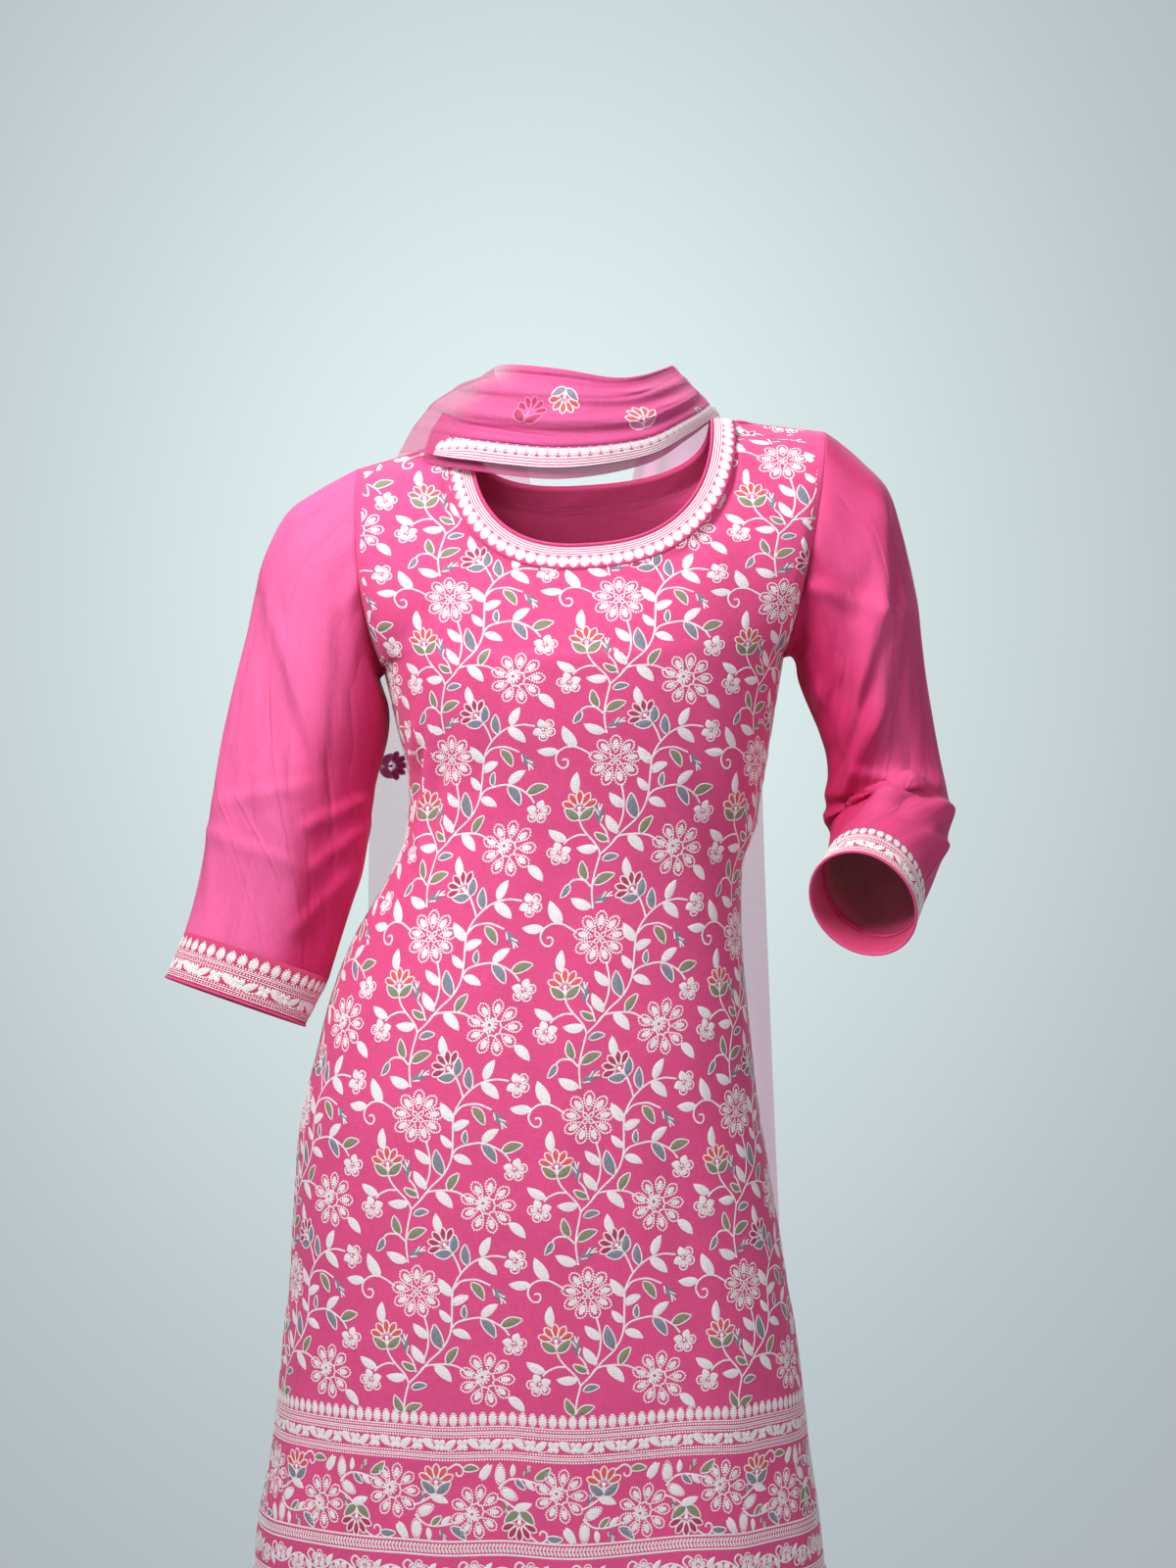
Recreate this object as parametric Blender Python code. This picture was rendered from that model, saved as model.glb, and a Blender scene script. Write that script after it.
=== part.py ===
"""Sharara suit: an embroidered A-line kurta with three-quarter sleeves, a dupatta across the throat
and a plain flared sharara, all hanging from the shoulders as they are worn.

Metres, +Z up, +Y towards the back, +X towards the wearer's left. The origin is the base of the neck,
midway between the shoulders. Every piece is one wall of cloth: a grid of outer points worked out from
the cut's sizes, and the same grid moved in by the cloth's thickness.
"""

import math
from collections import namedtuple

import bmesh
import bpy
import numpy as np

# Cloth thicknesses, and the gap that stands for a seam.
KURTA_WALL = 0.0015
BAND_WALL = 0.0010
SLEEVE_WALL = 0.0012
DUPATTA_WALL = 0.0010
SHARARA_WALL = 0.0015
SEAM_GAP = 0.0003

# Heights that the kurta is cut to.
HEM_Z = -0.925
LEVEL_ROWS_Z = -0.330
UNDERARM_LEFT_Z = -0.203
UNDERARM_RIGHT_Z = -0.190

# The kurta's outline at each height: its left and right side seams, and how far front and back stand out.
Section = namedtuple("Section", "z left right front back")
KURTA_SECTIONS = [
    Section(-0.925, -0.2720, 0.1890, 0.166, 0.164),
    Section(-0.866, -0.2665, 0.1825, 0.159, 0.156),
    Section(-0.820, -0.2565, 0.1755, 0.154, 0.150),
    Section(-0.750, -0.2500, 0.1680, 0.148, 0.143),
    Section(-0.690, -0.2430, 0.1580, 0.143, 0.138),
    Section(-0.622, -0.2395, 0.1475, 0.137, 0.133),
    Section(-0.560, -0.2340, 0.1365, 0.131, 0.130),
    Section(-0.500, -0.2190, 0.1295, 0.122, 0.124),
    Section(-0.435, -0.2010, 0.1235, 0.111, 0.112),
    Section(-0.390, -0.1760, 0.1210, 0.105, 0.101),
    Section(-0.360, -0.1600, 0.1225, 0.103, 0.095),
    Section(-0.330, -0.1490, 0.1300, 0.104, 0.092),
    Section(-0.290, -0.1470, 0.1390, 0.110, 0.091),
    Section(-0.250, -0.1555, 0.1455, 0.118, 0.094),
    Section(-0.190, -0.1690, 0.1555, 0.122, 0.099),
]
SECTION_POWER = 2.3

# The shoulder seams run from the neck point out to the shoulder point; the left one slopes more.
Seam = namedtuple("Seam", "x z")
SHOULDER_LEFT = Seam(-0.1885, -0.037)
NECK_LEFT = Seam(-0.0960, -0.010)
NECK_RIGHT = Seam(0.0970, 0.004)
SHOULDER_RIGHT = Seam(0.1885, -0.007)

# Depth of the chest and of the back below the shoulder seams.
CHEST_ROUNDING = 0.275
BACK_DEPTH = 0.100
BACK_ROUNDING = 0.050

# The armholes: how far each reaches forwards and back, and how its lower end draws in.
ARMHOLE_FRONT = 0.058
ARMHOLE_BACK = 0.066
Armhole = namedtuple("Armhole", "top bottom_x bottom_z draw")
ARMHOLE_LEFT = Armhole(SHOULDER_LEFT, -0.1670, UNDERARM_LEFT_Z, 3.0)
ARMHOLE_RIGHT = Armhole(SHOULDER_RIGHT, 0.1555, UNDERARM_RIGHT_Z, 1.5)

# How far the armhole seams face outwards at the shoulder, between straight up and straight out.
SHOULDER_LEAN = 0.4

# The necklines, and the band laid round them.
NECK_POWER = 2.5
NECK_FRONT_DROP = 0.101
NECK_BACK_DROP = 0.042
NECK_BAND_WIDTH = 0.019

# Soft folds that open towards the kurta's hem: place across the panel, width and depth at the hem.
Fold = namedtuple("Fold", "place width depth")
FRONT_FOLDS = [
    Fold(-0.78, 0.10, 0.007),
    Fold(-0.42, 0.13, 0.004),
    Fold(0.05, 0.16, 0.005),
    Fold(0.47, 0.12, 0.005),
    Fold(0.80, 0.09, 0.006),
]
BACK_FOLDS = [Fold(-0.62, 0.14, 0.006), Fold(-0.10, 0.17, 0.005), Fold(0.55, 0.14, 0.006)]
FOLDS_START_Z = -0.430
FOLD_OPENING_POWER = 1.3

# Sleeve rings: the centre, the half axis towards the outer edge, and the half axis towards the front.
Ring = namedtuple("Ring", "cx cy cz ox oy oz fx fy fz")
SLEEVE_LEFT_RINGS = [
    Ring(-0.1903, 0.000, -0.1294, -0.0190, 0.0, 0.0810, 0.0, -0.061, 0.000),
    Ring(-0.2048, 0.000, -0.1490, -0.0402, 0.0, 0.0770, 0.0, -0.063, 0.000),
    Ring(-0.2156, -0.001, -0.1838, -0.0524, 0.0, 0.0641, 0.0, -0.062, 0.000),
    Ring(-0.2240, -0.002, -0.2225, -0.0550, 0.0, 0.0515, 0.0, -0.059, 0.000),
    Ring(-0.2318, -0.004, -0.2550, -0.0572, 0.0, 0.0400, 0.0, -0.056, 0.002),
    Ring(-0.2378, -0.006, -0.2870, -0.0602, 0.0, 0.0310, 0.0, -0.053, 0.003),
    Ring(-0.2430, -0.009, -0.3210, -0.0620, 0.0, 0.0210, 0.0, -0.049, 0.004),
    Ring(-0.2490, -0.012, -0.3560, -0.0620, 0.0, 0.0140, 0.0, -0.044, 0.004),
    Ring(-0.2580, -0.015, -0.3930, -0.0600, 0.0, 0.0130, 0.0, -0.039, 0.004),
    Ring(-0.2689, -0.018, -0.4300, -0.0578, 0.0, 0.0190, 0.0, -0.036, 0.004),
]
CUFF_LEFT_END = Ring(-0.2857, -0.021, -0.4665, -0.0557, 0.0, 0.0195, 0.0, -0.035, 0.004)
SLEEVE_RIGHT_RINGS = [
    Ring(0.1853, 0.000, -0.1050, 0.0207, 0.0, 0.0850, 0.0, -0.061, 0.000),
    Ring(0.2034, 0.002, -0.1300, 0.0361, 0.0, 0.0770, 0.0, -0.063, 0.000),
    Ring(0.2153, 0.004, -0.1653, 0.0393, 0.0, 0.0647, 0.0, -0.061, 0.000),
    Ring(0.2257, 0.006, -0.1998, 0.0393, 0.0, 0.0532, 0.0, -0.058, 0.000),
    Ring(0.2312, 0.009, -0.2340, 0.0385, 0.0, 0.0444, 0.0, -0.055, 0.002),
    Ring(0.2348, 0.012, -0.2650, 0.0420, 0.0, 0.0310, 0.0, -0.053, 0.004),
    Ring(0.2385, 0.013, -0.2950, 0.0455, -0.003, 0.0190, 0.0, -0.050, 0.010),
    Ring(0.2425, 0.006, -0.3230, 0.0475, -0.010, 0.0070, -0.002, -0.045, 0.024),
    Ring(0.2370, -0.020, -0.3440, 0.0440, -0.018, 0.0010, -0.006, -0.033, 0.036),
    Ring(0.2245, -0.0616, -0.3692, 0.0375, -0.0195, 0.0, -0.0095, -0.0190, 0.0425),
]
CUFF_RIGHT_END = Ring(0.2135, -0.0900, -0.3858, 0.0395, -0.0200, 0.0, -0.0095, -0.0188, 0.0410)

# The sleeves' largest creases: place down the sleeve and round it (in turns from the outer edge, front
# first), how far each runs along and across, its slant, and its depth (a ridge where it is negative).
Crease = namedtuple("Crease", "down turn along across slant depth")
CREASES_LEFT = [
    Crease(0.55, 0.30, 0.30, 0.035, 0.10, 0.0035),
    Crease(0.72, 0.42, 0.10, 0.060, 0.35, 0.0040),
    Crease(0.80, 0.16, 0.16, 0.040, -0.15, -0.0030),
    Crease(0.45, 0.75, 0.30, 0.050, 0.10, 0.0035),
]
CREASES_RIGHT = [
    Crease(0.77, 0.25, 0.035, 0.160, 0.00, 0.0060),
    Crease(0.86, 0.22, 0.035, 0.140, 0.10, 0.0045),
    Crease(0.70, 0.70, 0.120, 0.060, 0.20, 0.0035),
    Crease(0.40, 0.30, 0.220, 0.040, 0.15, 0.0035),
]

# The dupatta across the throat: its upper and lower edges, from the left shoulder to the right one.
Swag = namedtuple("Swag", "ux uy uz lx ly lz")
SWAG = [
    Swag(-0.078, 0.008, 0.0400, -0.156, 0.008, -0.0235),
    Swag(-0.074, -0.020, 0.0440, -0.137, -0.028, -0.0265),
    Swag(-0.056, -0.046, 0.0420, -0.102, -0.064, -0.0350),
    Swag(-0.022, -0.062, 0.0365, -0.026, -0.088, -0.0440),
    Swag(0.014, -0.060, 0.0305, 0.042, -0.080, -0.0340),
    Swag(0.038, -0.042, 0.0340, 0.079, -0.052, -0.0130),
    Swag(0.066, 0.008, 0.0480, 0.104, 0.008, 0.0085),
]
SWAG_BULGE = 0.010
SWAG_PLEATS = 3
SWAG_PLEAT_DEPTH = 0.0030
# The border's share of the swag's height, and a point on the neck's own axis behind it.
BORDER_SHARE = 0.21
NECK_AXIS = (-0.015, 0.020, 0.0)

# The dupatta's ends down the back: inner and outer edges, how far back, and how deep the pleats stand.
Fall = namedtuple("Fall", "inner_x inner_z outer_x outer_z y pleat")
FALL_LEFT = [
    Fall(-0.078, 0.0400, -0.156, -0.0235, 0.0083, 0.0015),
    Fall(-0.074, 0.0340, -0.160, -0.0290, 0.030, 0.002),
    Fall(-0.066, 0.0100, -0.166, -0.0440, 0.060, 0.003),
    Fall(-0.052, -0.0350, -0.173, -0.0750, 0.090, 0.005),
    Fall(-0.038, -0.0900, -0.179, -0.1200, 0.105, 0.007),
    Fall(-0.024, -0.2000, -0.184, -0.2150, 0.112, 0.008),
    Fall(-0.014, -0.3500, -0.187, -0.3550, 0.122, 0.009),
    Fall(-0.010, -0.5600, -0.190, -0.5600, 0.140, 0.009),
    Fall(-0.008, -0.7600, -0.196, -0.7600, 0.158, 0.010),
    Fall(-0.006, -0.9650, -0.205, -0.9650, 0.180, 0.011),
]
FALL_RIGHT = [
    Fall(0.066, 0.0480, 0.104, 0.0085, 0.0083, 0.0015),
    Fall(0.056, 0.0400, 0.108, 0.0035, 0.030, 0.002),
    Fall(0.048, 0.0150, 0.118, -0.0120, 0.060, 0.003),
    Fall(0.036, -0.0300, 0.130, -0.0550, 0.090, 0.005),
    Fall(0.024, -0.0900, 0.138, -0.1100, 0.105, 0.007),
    Fall(0.014, -0.2000, 0.142, -0.2050, 0.112, 0.008),
    Fall(0.008, -0.3500, 0.146, -0.3500, 0.122, 0.009),
    Fall(0.006, -0.5600, 0.155, -0.5600, 0.140, 0.009),
    Fall(0.006, -0.7600, 0.165, -0.7600, 0.158, 0.010),
    Fall(0.008, -0.9850, 0.178, -0.9850, 0.182, 0.011),
]
FALL_PLEATS = 4
FALL_UNEVEN = 0.30
FALL_ROW_POWER = 1.15

# The sharara's legs at each height: outer edges, front, back, and how deep the flare's waves stand.
Leg = namedtuple("Leg", "z left right front back wave")
LEG_SECTIONS = [
    Leg(-0.370, -0.1610, 0.1180, 0.0995, 0.0930, 0.000),
    Leg(-0.390, -0.1715, 0.1170, 0.1010, 0.0970, 0.000),
    Leg(-0.435, -0.1955, 0.1185, 0.1060, 0.1070, 0.000),
    Leg(-0.500, -0.2120, 0.1230, 0.115, 0.117, 0.000),
    Leg(-0.580, -0.2290, 0.1320, 0.124, 0.123, 0.000),
    Leg(-0.690, -0.2310, 0.1480, 0.133, 0.128, 0.000),
    Leg(-0.820, -0.2430, 0.1630, 0.142, 0.138, 0.002),
    Leg(-0.925, -0.2560, 0.1740, 0.149, 0.147, 0.004),
    Leg(-1.050, -0.2850, 0.2050, 0.168, 0.170, 0.010),
    Leg(-1.200, -0.3220, 0.2430, 0.188, 0.192, 0.017),
    Leg(-1.385, -0.3700, 0.2920, 0.210, 0.218, 0.024),
]
WAISTBAND_DEPTH = 0.040
CROTCH_START_Z = -0.560
CROTCH_Z = -0.665
INSEAM_APART = 0.012
INSEAM_OPENS_OVER = 0.100
LEG_WAVES = 6
WAVE_UNEVEN = 0.6
LEG_POWER = 2.2
LEG_EASE = 0.004

# How finely each grid is cut.
NECK_STEPS = 14
SHOULDER_STEPS = 5
BACK_NECK_STEPS = 8
BACK_SHOULDER_STEPS = 4
HEM_ROWS = 12
WAIST_ROWS = 3
CHEST_ROWS = 8
SLEEVE_SIDES = 2 * CHEST_ROWS
SLEEVE_ROWS = 15
WAISTBAND_ROWS = 2
SWAG_COLUMNS = 22
SWAG_ROWS = 7
FALL_COLUMNS = 24
FALL_ROWS = 11
LEG_COLUMNS = 30
LEG_ROWS_ABOVE_CROTCH = 3
CROTCH_ROWS = (0.5, 0.85, 1.0)
LEG_ROWS_TO_HEM = 3
LEG_ROWS_BELOW_HEM = 4

# Points that a curve is measured by, and the angle each side of a seam point that gives its direction.
CURVE_STEPS = 160
SEAM_STEP = 0.01
SHARP_ANGLE = math.radians(50)

# Colours, as linear base colours.
PINK = (0.74, 0.065, 0.26)
SHEER_PINK = (0.78, 0.05, 0.22)
LILAC_PINK = (0.70, 0.12, 0.35)
THREAD = (0.90, 0.84, 0.82)


def smooth(table, column, at, key="z"):
    """A table's column read at any key, on a smooth curve through its rows."""
    keys = np.array([getattr(row, key) for row in table])
    values = np.array([getattr(row, column) for row in table])
    if keys[0] > keys[-1]:
        keys, values = keys[::-1], values[::-1]
    return curve(keys, values, at)


def curve(keys, values, at):
    """A cubic through (keys, values) that never overshoots them."""
    at = min(max(at, keys[0]), keys[-1])
    k = int(min(max(np.searchsorted(keys, at) - 1, 0), len(keys) - 2))
    steps = np.diff(keys)
    slopes = np.diff(values) / steps

    def tangent(i):
        if i in (0, len(keys) - 1):
            return slopes[0 if i == 0 else -1]
        before, after = slopes[i - 1], slopes[i]
        if before * after <= 0:
            return 0.0
        return 2 * before * after / (before + after)

    t = (at - keys[k]) / steps[k]
    rise = values[k + 1] - values[k]
    start, end = tangent(k) * steps[k], tangent(k + 1) * steps[k]
    return values[k] + t * start + t * t * (3 * rise - 2 * start - end) + t**3 * (start + end - 2 * rise)


def through(rows, t):
    """A point on a smooth curve through rows of numbers, with t from 0 to 1."""
    rows = np.array(rows, float)
    place = min(max(t, 0.0), 1.0) * (len(rows) - 1)
    k = min(int(place), len(rows) - 2)
    f = place - k
    before = rows[k - 1] if k else 2 * rows[0] - rows[1]
    after = rows[k + 2] if k + 2 < len(rows) else 2 * rows[-1] - rows[-2]
    a, b = rows[k], rows[k + 1]
    slope = b - before
    bend = 2 * before - 5 * a + 4 * b - after
    twist = 3 * (a - b) + after - before
    return a + 0.5 * f * (slope + f * (bend + f * twist))


def evenly(points, fractions):
    """Points at the given fractions of a polyline's length."""
    points = np.array(points)
    reach = np.concatenate([[0.0], np.cumsum(np.linalg.norm(np.diff(points, axis=0), axis=1))])
    reach /= reach[-1]
    return np.stack([np.interp(fractions, reach, points[:, k]) for k in range(points.shape[1])], axis=1)


def material(name, colour, roughness):
    made = bpy.data.materials.new(name)
    made.use_nodes = True
    shader = made.node_tree.nodes["Principled BSDF"]
    shader.inputs["Base Color"].default_value = (*colour, 1.0)
    shader.inputs["Roughness"].default_value = roughness
    return made


def grid_normals(grid, outward, wrap):
    """The outward normal at each point of a grid of points."""
    if wrap:
        across = np.roll(grid, -1, axis=1) - np.roll(grid, 1, axis=1)
    else:
        across = np.gradient(grid, axis=1)
    along = np.gradient(grid, axis=0)
    normals = np.cross(across, along) * outward
    return normals / np.linalg.norm(normals, axis=2, keepdims=True)


def cloth(name, grid, normals, wall, colour, roughness=0.8, wrap=False, keep=None):
    """One closed wall of cloth: the grid, the grid moved in by the wall, and a strip on each free edge."""
    rows, columns = grid.shape[:2]
    inner = grid - normals * wall
    mesh = bmesh.new()
    points = [
        [[mesh.verts.new(layer[i][j]) for j in range(columns)] for i in range(rows)]
        for layer in (grid, inner)
    ]
    edges = {}
    last = columns if wrap else columns - 1
    for i in range(rows - 1):
        for j in range(last):
            if keep is not None and not keep(i, j):
                continue
            n = (j + 1) % columns
            corners = [(i, j), (i, n), (i + 1, n), (i + 1, j)]
            for half in (corners[:3], [corners[0], *corners[2:]]):
                mesh.faces.new([points[0][a][b] for a, b in half])
                mesh.faces.new([points[1][a][b] for a, b in reversed(half)])
            for a, b in zip(corners, corners[1:] + corners[:1]):
                if (b, a) in edges:
                    del edges[(b, a)]
                else:
                    edges[(a, b)] = True
    for a, b in edges:
        ends = [(0, b), (0, a), (1, a), (1, b)]
        mesh.faces.new([points[layer][i][j] for layer, (i, j) in ends])
    loose = [v for v in mesh.verts if not v.link_faces]
    bmesh.ops.delete(mesh, geom=loose, context="VERTS")
    bmesh.ops.recalc_face_normals(mesh, faces=mesh.faces)
    data = bpy.data.meshes.new(name)
    mesh.to_mesh(data)
    mesh.free()
    data.shade_smooth()
    data.set_sharp_from_angle(angle=SHARP_ANGLE)
    made = bpy.data.objects.new(name, data)
    bpy.context.collection.objects.link(made)
    data.materials.append(material(name, colour, roughness))
    return made


# The kurta's surface


def shoulder_z(x):
    """The height of the shoulder line over any x."""
    seams = (SHOULDER_LEFT, NECK_LEFT, NECK_RIGHT, SHOULDER_RIGHT)
    return float(np.interp(x, [s.x for s in seams], [s.z for s in seams]))


def chest_depth(below, front):
    """How far the cloth stands in front of, or behind, the shoulder line, this far below it."""
    below = max(below, 0.0)
    if front:
        return CHEST_ROUNDING * math.sqrt(below)
    return BACK_DEPTH * math.sqrt(1 - math.exp(-below / BACK_ROUNDING))


def armhole(hole, around, front):
    """A point of an armhole; around runs from 0 at the shoulder to pi at the underarm."""
    down = (1 - math.cos(around)) / 2
    x = hole.top.x + (hole.bottom_x - hole.top.x) * down**hole.draw
    z = hole.top.z + (hole.bottom_z - hole.top.z) * down
    reach = -ARMHOLE_FRONT if front else ARMHOLE_BACK
    return np.array([x, reach * math.sin(around), z])


def armhole_normal(hole, around, front):
    """Out of the armhole seam, between the panel's and the sleeve's own directions."""
    side = math.copysign(1.0, hole.top.x)
    lean = SHOULDER_LEAN * max(0.0, math.cos(around)) + max(0.0, -math.cos(around)) ** 3
    y = -math.sin(around) if front else math.sin(around)
    normal = np.array([side * lean, y, math.cos(around)])
    return normal / np.linalg.norm(normal)


def rim(front, band):
    """The neckline (or the outer edge of its band) as x and drop below the shoulder line, right round."""
    middle = (NECK_LEFT.x + NECK_RIGHT.x) / 2
    half = (NECK_RIGHT.x - NECK_LEFT.x) / 2 + band
    drop = (NECK_FRONT_DROP if front else NECK_BACK_DROP) + band
    points = []
    for k in range(CURVE_STEPS + 1):
        angle = math.pi * k / CURVE_STEPS
        c, s = math.cos(angle), math.sin(angle)
        x = middle - half * math.copysign(abs(c) ** (2 / NECK_POWER), c)
        below = drop * s ** (2 / NECK_POWER)
        y = chest_depth(below, front) * (-1 if front else 1)
        points.append((x, y, shoulder_z(x) - below))
    return points


def section_steps(half, depth, fractions):
    """Where even steps along a section's arc fall, as a share of its half width."""
    points = []
    for k in range(CURVE_STEPS + 1):
        angle = math.pi * k / CURVE_STEPS
        c, s = math.cos(angle), math.sin(angle)
        power = 2 / SECTION_POWER
        points.append((-half * math.copysign(abs(c) ** power, c), depth * s**power))
    return evenly(points, fractions)[:, 0] / half


def fold_depth(folds, place, z):
    """How far the cloth stands out in the folds that open towards the hem."""
    opening = min(max((FOLDS_START_Z - z) / (FOLDS_START_Z - HEM_Z), 0.0), 1.0)
    total = sum(f.depth * math.exp(-(((place - f.place) / f.width) ** 2)) for f in folds)
    return total * opening**FOLD_OPENING_POWER * (1 - abs(place) ** 6)


def panel(front):
    """The grid of a kurta panel's outer points from hem to neckline, its normals, and the neck columns."""
    neck_steps = NECK_STEPS if front else BACK_NECK_STEPS
    shoulder_steps = SHOULDER_STEPS if front else BACK_SHOULDER_STEPS
    columns = neck_steps + 2 * shoulder_steps + 1
    fractions = np.linspace(0.0, 1.0, columns)
    sign = -1 if front else 1
    depth_name = "front" if front else "back"
    folds = FRONT_FOLDS if front else BACK_FOLDS
    band_edge = evenly(rim(front, NECK_BAND_WIDTH), np.linspace(0, 1, neck_steps + 1))
    neckline = evenly(rim(front, 0.0), np.linspace(0, 1, neck_steps + 1))
    left_x = np.linspace(SHOULDER_LEFT.x, band_edge[0][0], shoulder_steps + 1)[:-1]
    right_x = np.linspace(band_edge[-1][0], SHOULDER_RIGHT.x, shoulder_steps + 1)[1:]
    left_seam = [(x, 0.0, shoulder_z(x)) for x in left_x]
    right_seam = [(x, 0.0, shoulder_z(x)) for x in right_x]
    top = np.array([*left_seam, *band_edge, *right_seam])
    rows = []

    def level(heights):
        row = []
        for j, z in enumerate(heights):
            left = smooth(KURTA_SECTIONS, "left", z)
            right = smooth(KURTA_SECTIONS, "right", z)
            depth = smooth(KURTA_SECTIONS, depth_name, z)
            half = (right - left) / 2
            share = section_steps(half, depth, [fractions[j]])[0]
            place = 2 * fractions[j] - 1
            out = fold_depth(folds, place, z)
            swell = (1 - abs(share) ** SECTION_POWER) ** (1 / SECTION_POWER)
            row.append(((left + right) / 2 + half * share, sign * (depth * swell + out), z))
        rows.append(row)

    for z in np.linspace(HEM_Z, LEVEL_ROWS_Z - WAISTBAND_DEPTH, HEM_ROWS + 1):
        level([z] * columns)
    for z in np.linspace(LEVEL_ROWS_Z - WAISTBAND_DEPTH, LEVEL_ROWS_Z, WAISTBAND_ROWS + 1)[1:]:
        level([z] * columns)
    under = UNDERARM_LEFT_Z + (UNDERARM_RIGHT_Z - UNDERARM_LEFT_Z) * fractions
    for k in range(1, WAIST_ROWS + 1):
        level(LEVEL_ROWS_Z + (under - LEVEL_ROWS_Z) * k / WAIST_ROWS)
    rows[-1][0] = tuple(armhole(ARMHOLE_LEFT, math.pi, front))
    rows[-1][-1] = tuple(armhole(ARMHOLE_RIGHT, math.pi, front))
    base = np.array(rows[-1])
    base_half = (base[-1][0] - base[0][0]) / 2
    base_share = (base[:, 0] - (base[-1][0] + base[0][0]) / 2) / base_half
    top_half = (top[-1][0] - top[0][0]) / 2
    top_share = (top[:, 0] - (top[-1][0] + top[0][0]) / 2) / top_half
    for k in range(1, CHEST_ROWS + 1):
        s = k / CHEST_ROWS
        around = math.pi * (1 - s)
        left, right = armhole(ARMHOLE_LEFT, around, front), armhole(ARMHOLE_RIGHT, around, front)
        row = []
        for j in range(columns):
            share = base_share[j] * (1 - s) + top_share[j] * s
            x = (left[0] + right[0]) / 2 + (right[0] - left[0]) / 2 * share
            z = base[j][2] * (1 - s) + top[j][2] * s
            hole, edge = (ARMHOLE_LEFT, left) if share < 0 else (ARMHOLE_RIGHT, right)
            z += (edge[2] - (hole.bottom_z * (1 - s) + hole.top.z * s)) * abs(share) ** 4
            swell = max(0.0, 1 - abs(share) ** SECTION_POWER) ** (1 / SECTION_POWER)
            if k == CHEST_ROWS:
                row.append(tuple(top[j]))
                continue
            full = chest_depth(shoulder_z(x) - z, front)
            row.append((x, sign * (abs(edge[1]) + (full - abs(edge[1])) * swell), z))
        row[0], row[-1] = tuple(left), tuple(right)
        rows.append(row)
    strip = [tuple(p) for p in top]
    strip[shoulder_steps : shoulder_steps + neck_steps + 1] = [tuple(p) for p in neckline]
    rows.append(strip)
    grid = np.array(rows)
    normals = grid_normals(grid[:-1], 1 if front else -1, False)
    normals = np.concatenate([normals, normals[-1:]])
    underarm_row = len(rows) - 2 - CHEST_ROWS
    for i in range(len(rows)):
        for j, hole in ((0, ARMHOLE_LEFT), (columns - 1, ARMHOLE_RIGHT)):
            side = math.copysign(1.0, hole.top.x)
            if i < underarm_row:
                normals[i][j] = (side, 0, 0)
                grid[i][j][1] = sign * SEAM_GAP / 2
            else:
                s = min((i - underarm_row) / CHEST_ROWS, 1.0)
                around = math.pi * (1 - s)
                normal = armhole_normal(hole, around, front)
                step = armhole(hole, around - SEAM_STEP, front) - armhole(hole, around + SEAM_STEP, front)
                inwards = np.cross(step / np.linalg.norm(step), normal)
                if inwards[0] * side > 0:
                    inwards = -inwards
                normals[i][j] = normal
                grid[i][j] = armhole(hole, around, front) + inwards * SEAM_GAP / 2
                if around in (0.0, math.pi):
                    grid[i][j][1] = sign * SEAM_GAP / 2
    up = np.array([0.0, 0.0, 1.0])
    for j in range(1, columns - 1):
        if not shoulder_steps < j < shoulder_steps + neck_steps:
            for i in (len(rows) - 2, len(rows) - 1):
                normals[i][j] = up
                grid[i][j][1] = sign * SEAM_GAP / 2
    neck = range(shoulder_steps, shoulder_steps + neck_steps)
    return grid, normals, neck


def kurta_panel(name, front):
    grid, normals, neck = panel(front)
    last = len(grid) - 2
    cloth(name, grid, normals, KURTA_WALL, PINK, keep=lambda i, j: i < last or j in neck)
    return grid, normals, neck


def neck_band(name, made):
    """The band round the neck: the panel's last strip, moved out."""
    grid, normals, neck = made
    span = slice(neck.start, neck.stop + 1)
    strip, out = grid[-2:, span], normals[-2:, span]
    cloth(name, strip + out * (SEAM_GAP + BAND_WALL), out, BAND_WALL, THREAD)


def round_body(front, back, rows):
    """Points and normals right round the kurta at the given rows: front, then back."""
    f, fn, _ = front
    b, bn, _ = back
    points = np.concatenate([f[rows, :-1], b[rows, :0:-1]], axis=1)
    normals = np.concatenate([fn[rows, :-1], bn[rows, :0:-1]], axis=1)
    points[:, 0, 1] = 0.0
    points[:, f.shape[1] - 1, 1] = 0.0
    return points, normals


def sleeve_ring(ring, around):
    """A point of a sleeve ring; around is 0 at its outer edge and a quarter turn at its front."""
    centre = np.array(ring[0:3])
    return centre + np.array(ring[3:6]) * math.cos(around) + np.array(ring[6:9]) * math.sin(around)


def crease_depth(creases, down, turn):
    """How far a sleeve's cloth is pressed in at a place down it and round it."""
    total = 0.0
    for c in creases:
        round_by = (turn - c.turn + 0.5) % 1.0 - 0.5
        down_by = down - c.down - c.slant * round_by
        total += c.depth * math.exp(-((down_by / c.along) ** 2) - (round_by / c.across) ** 2)
    return total


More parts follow.
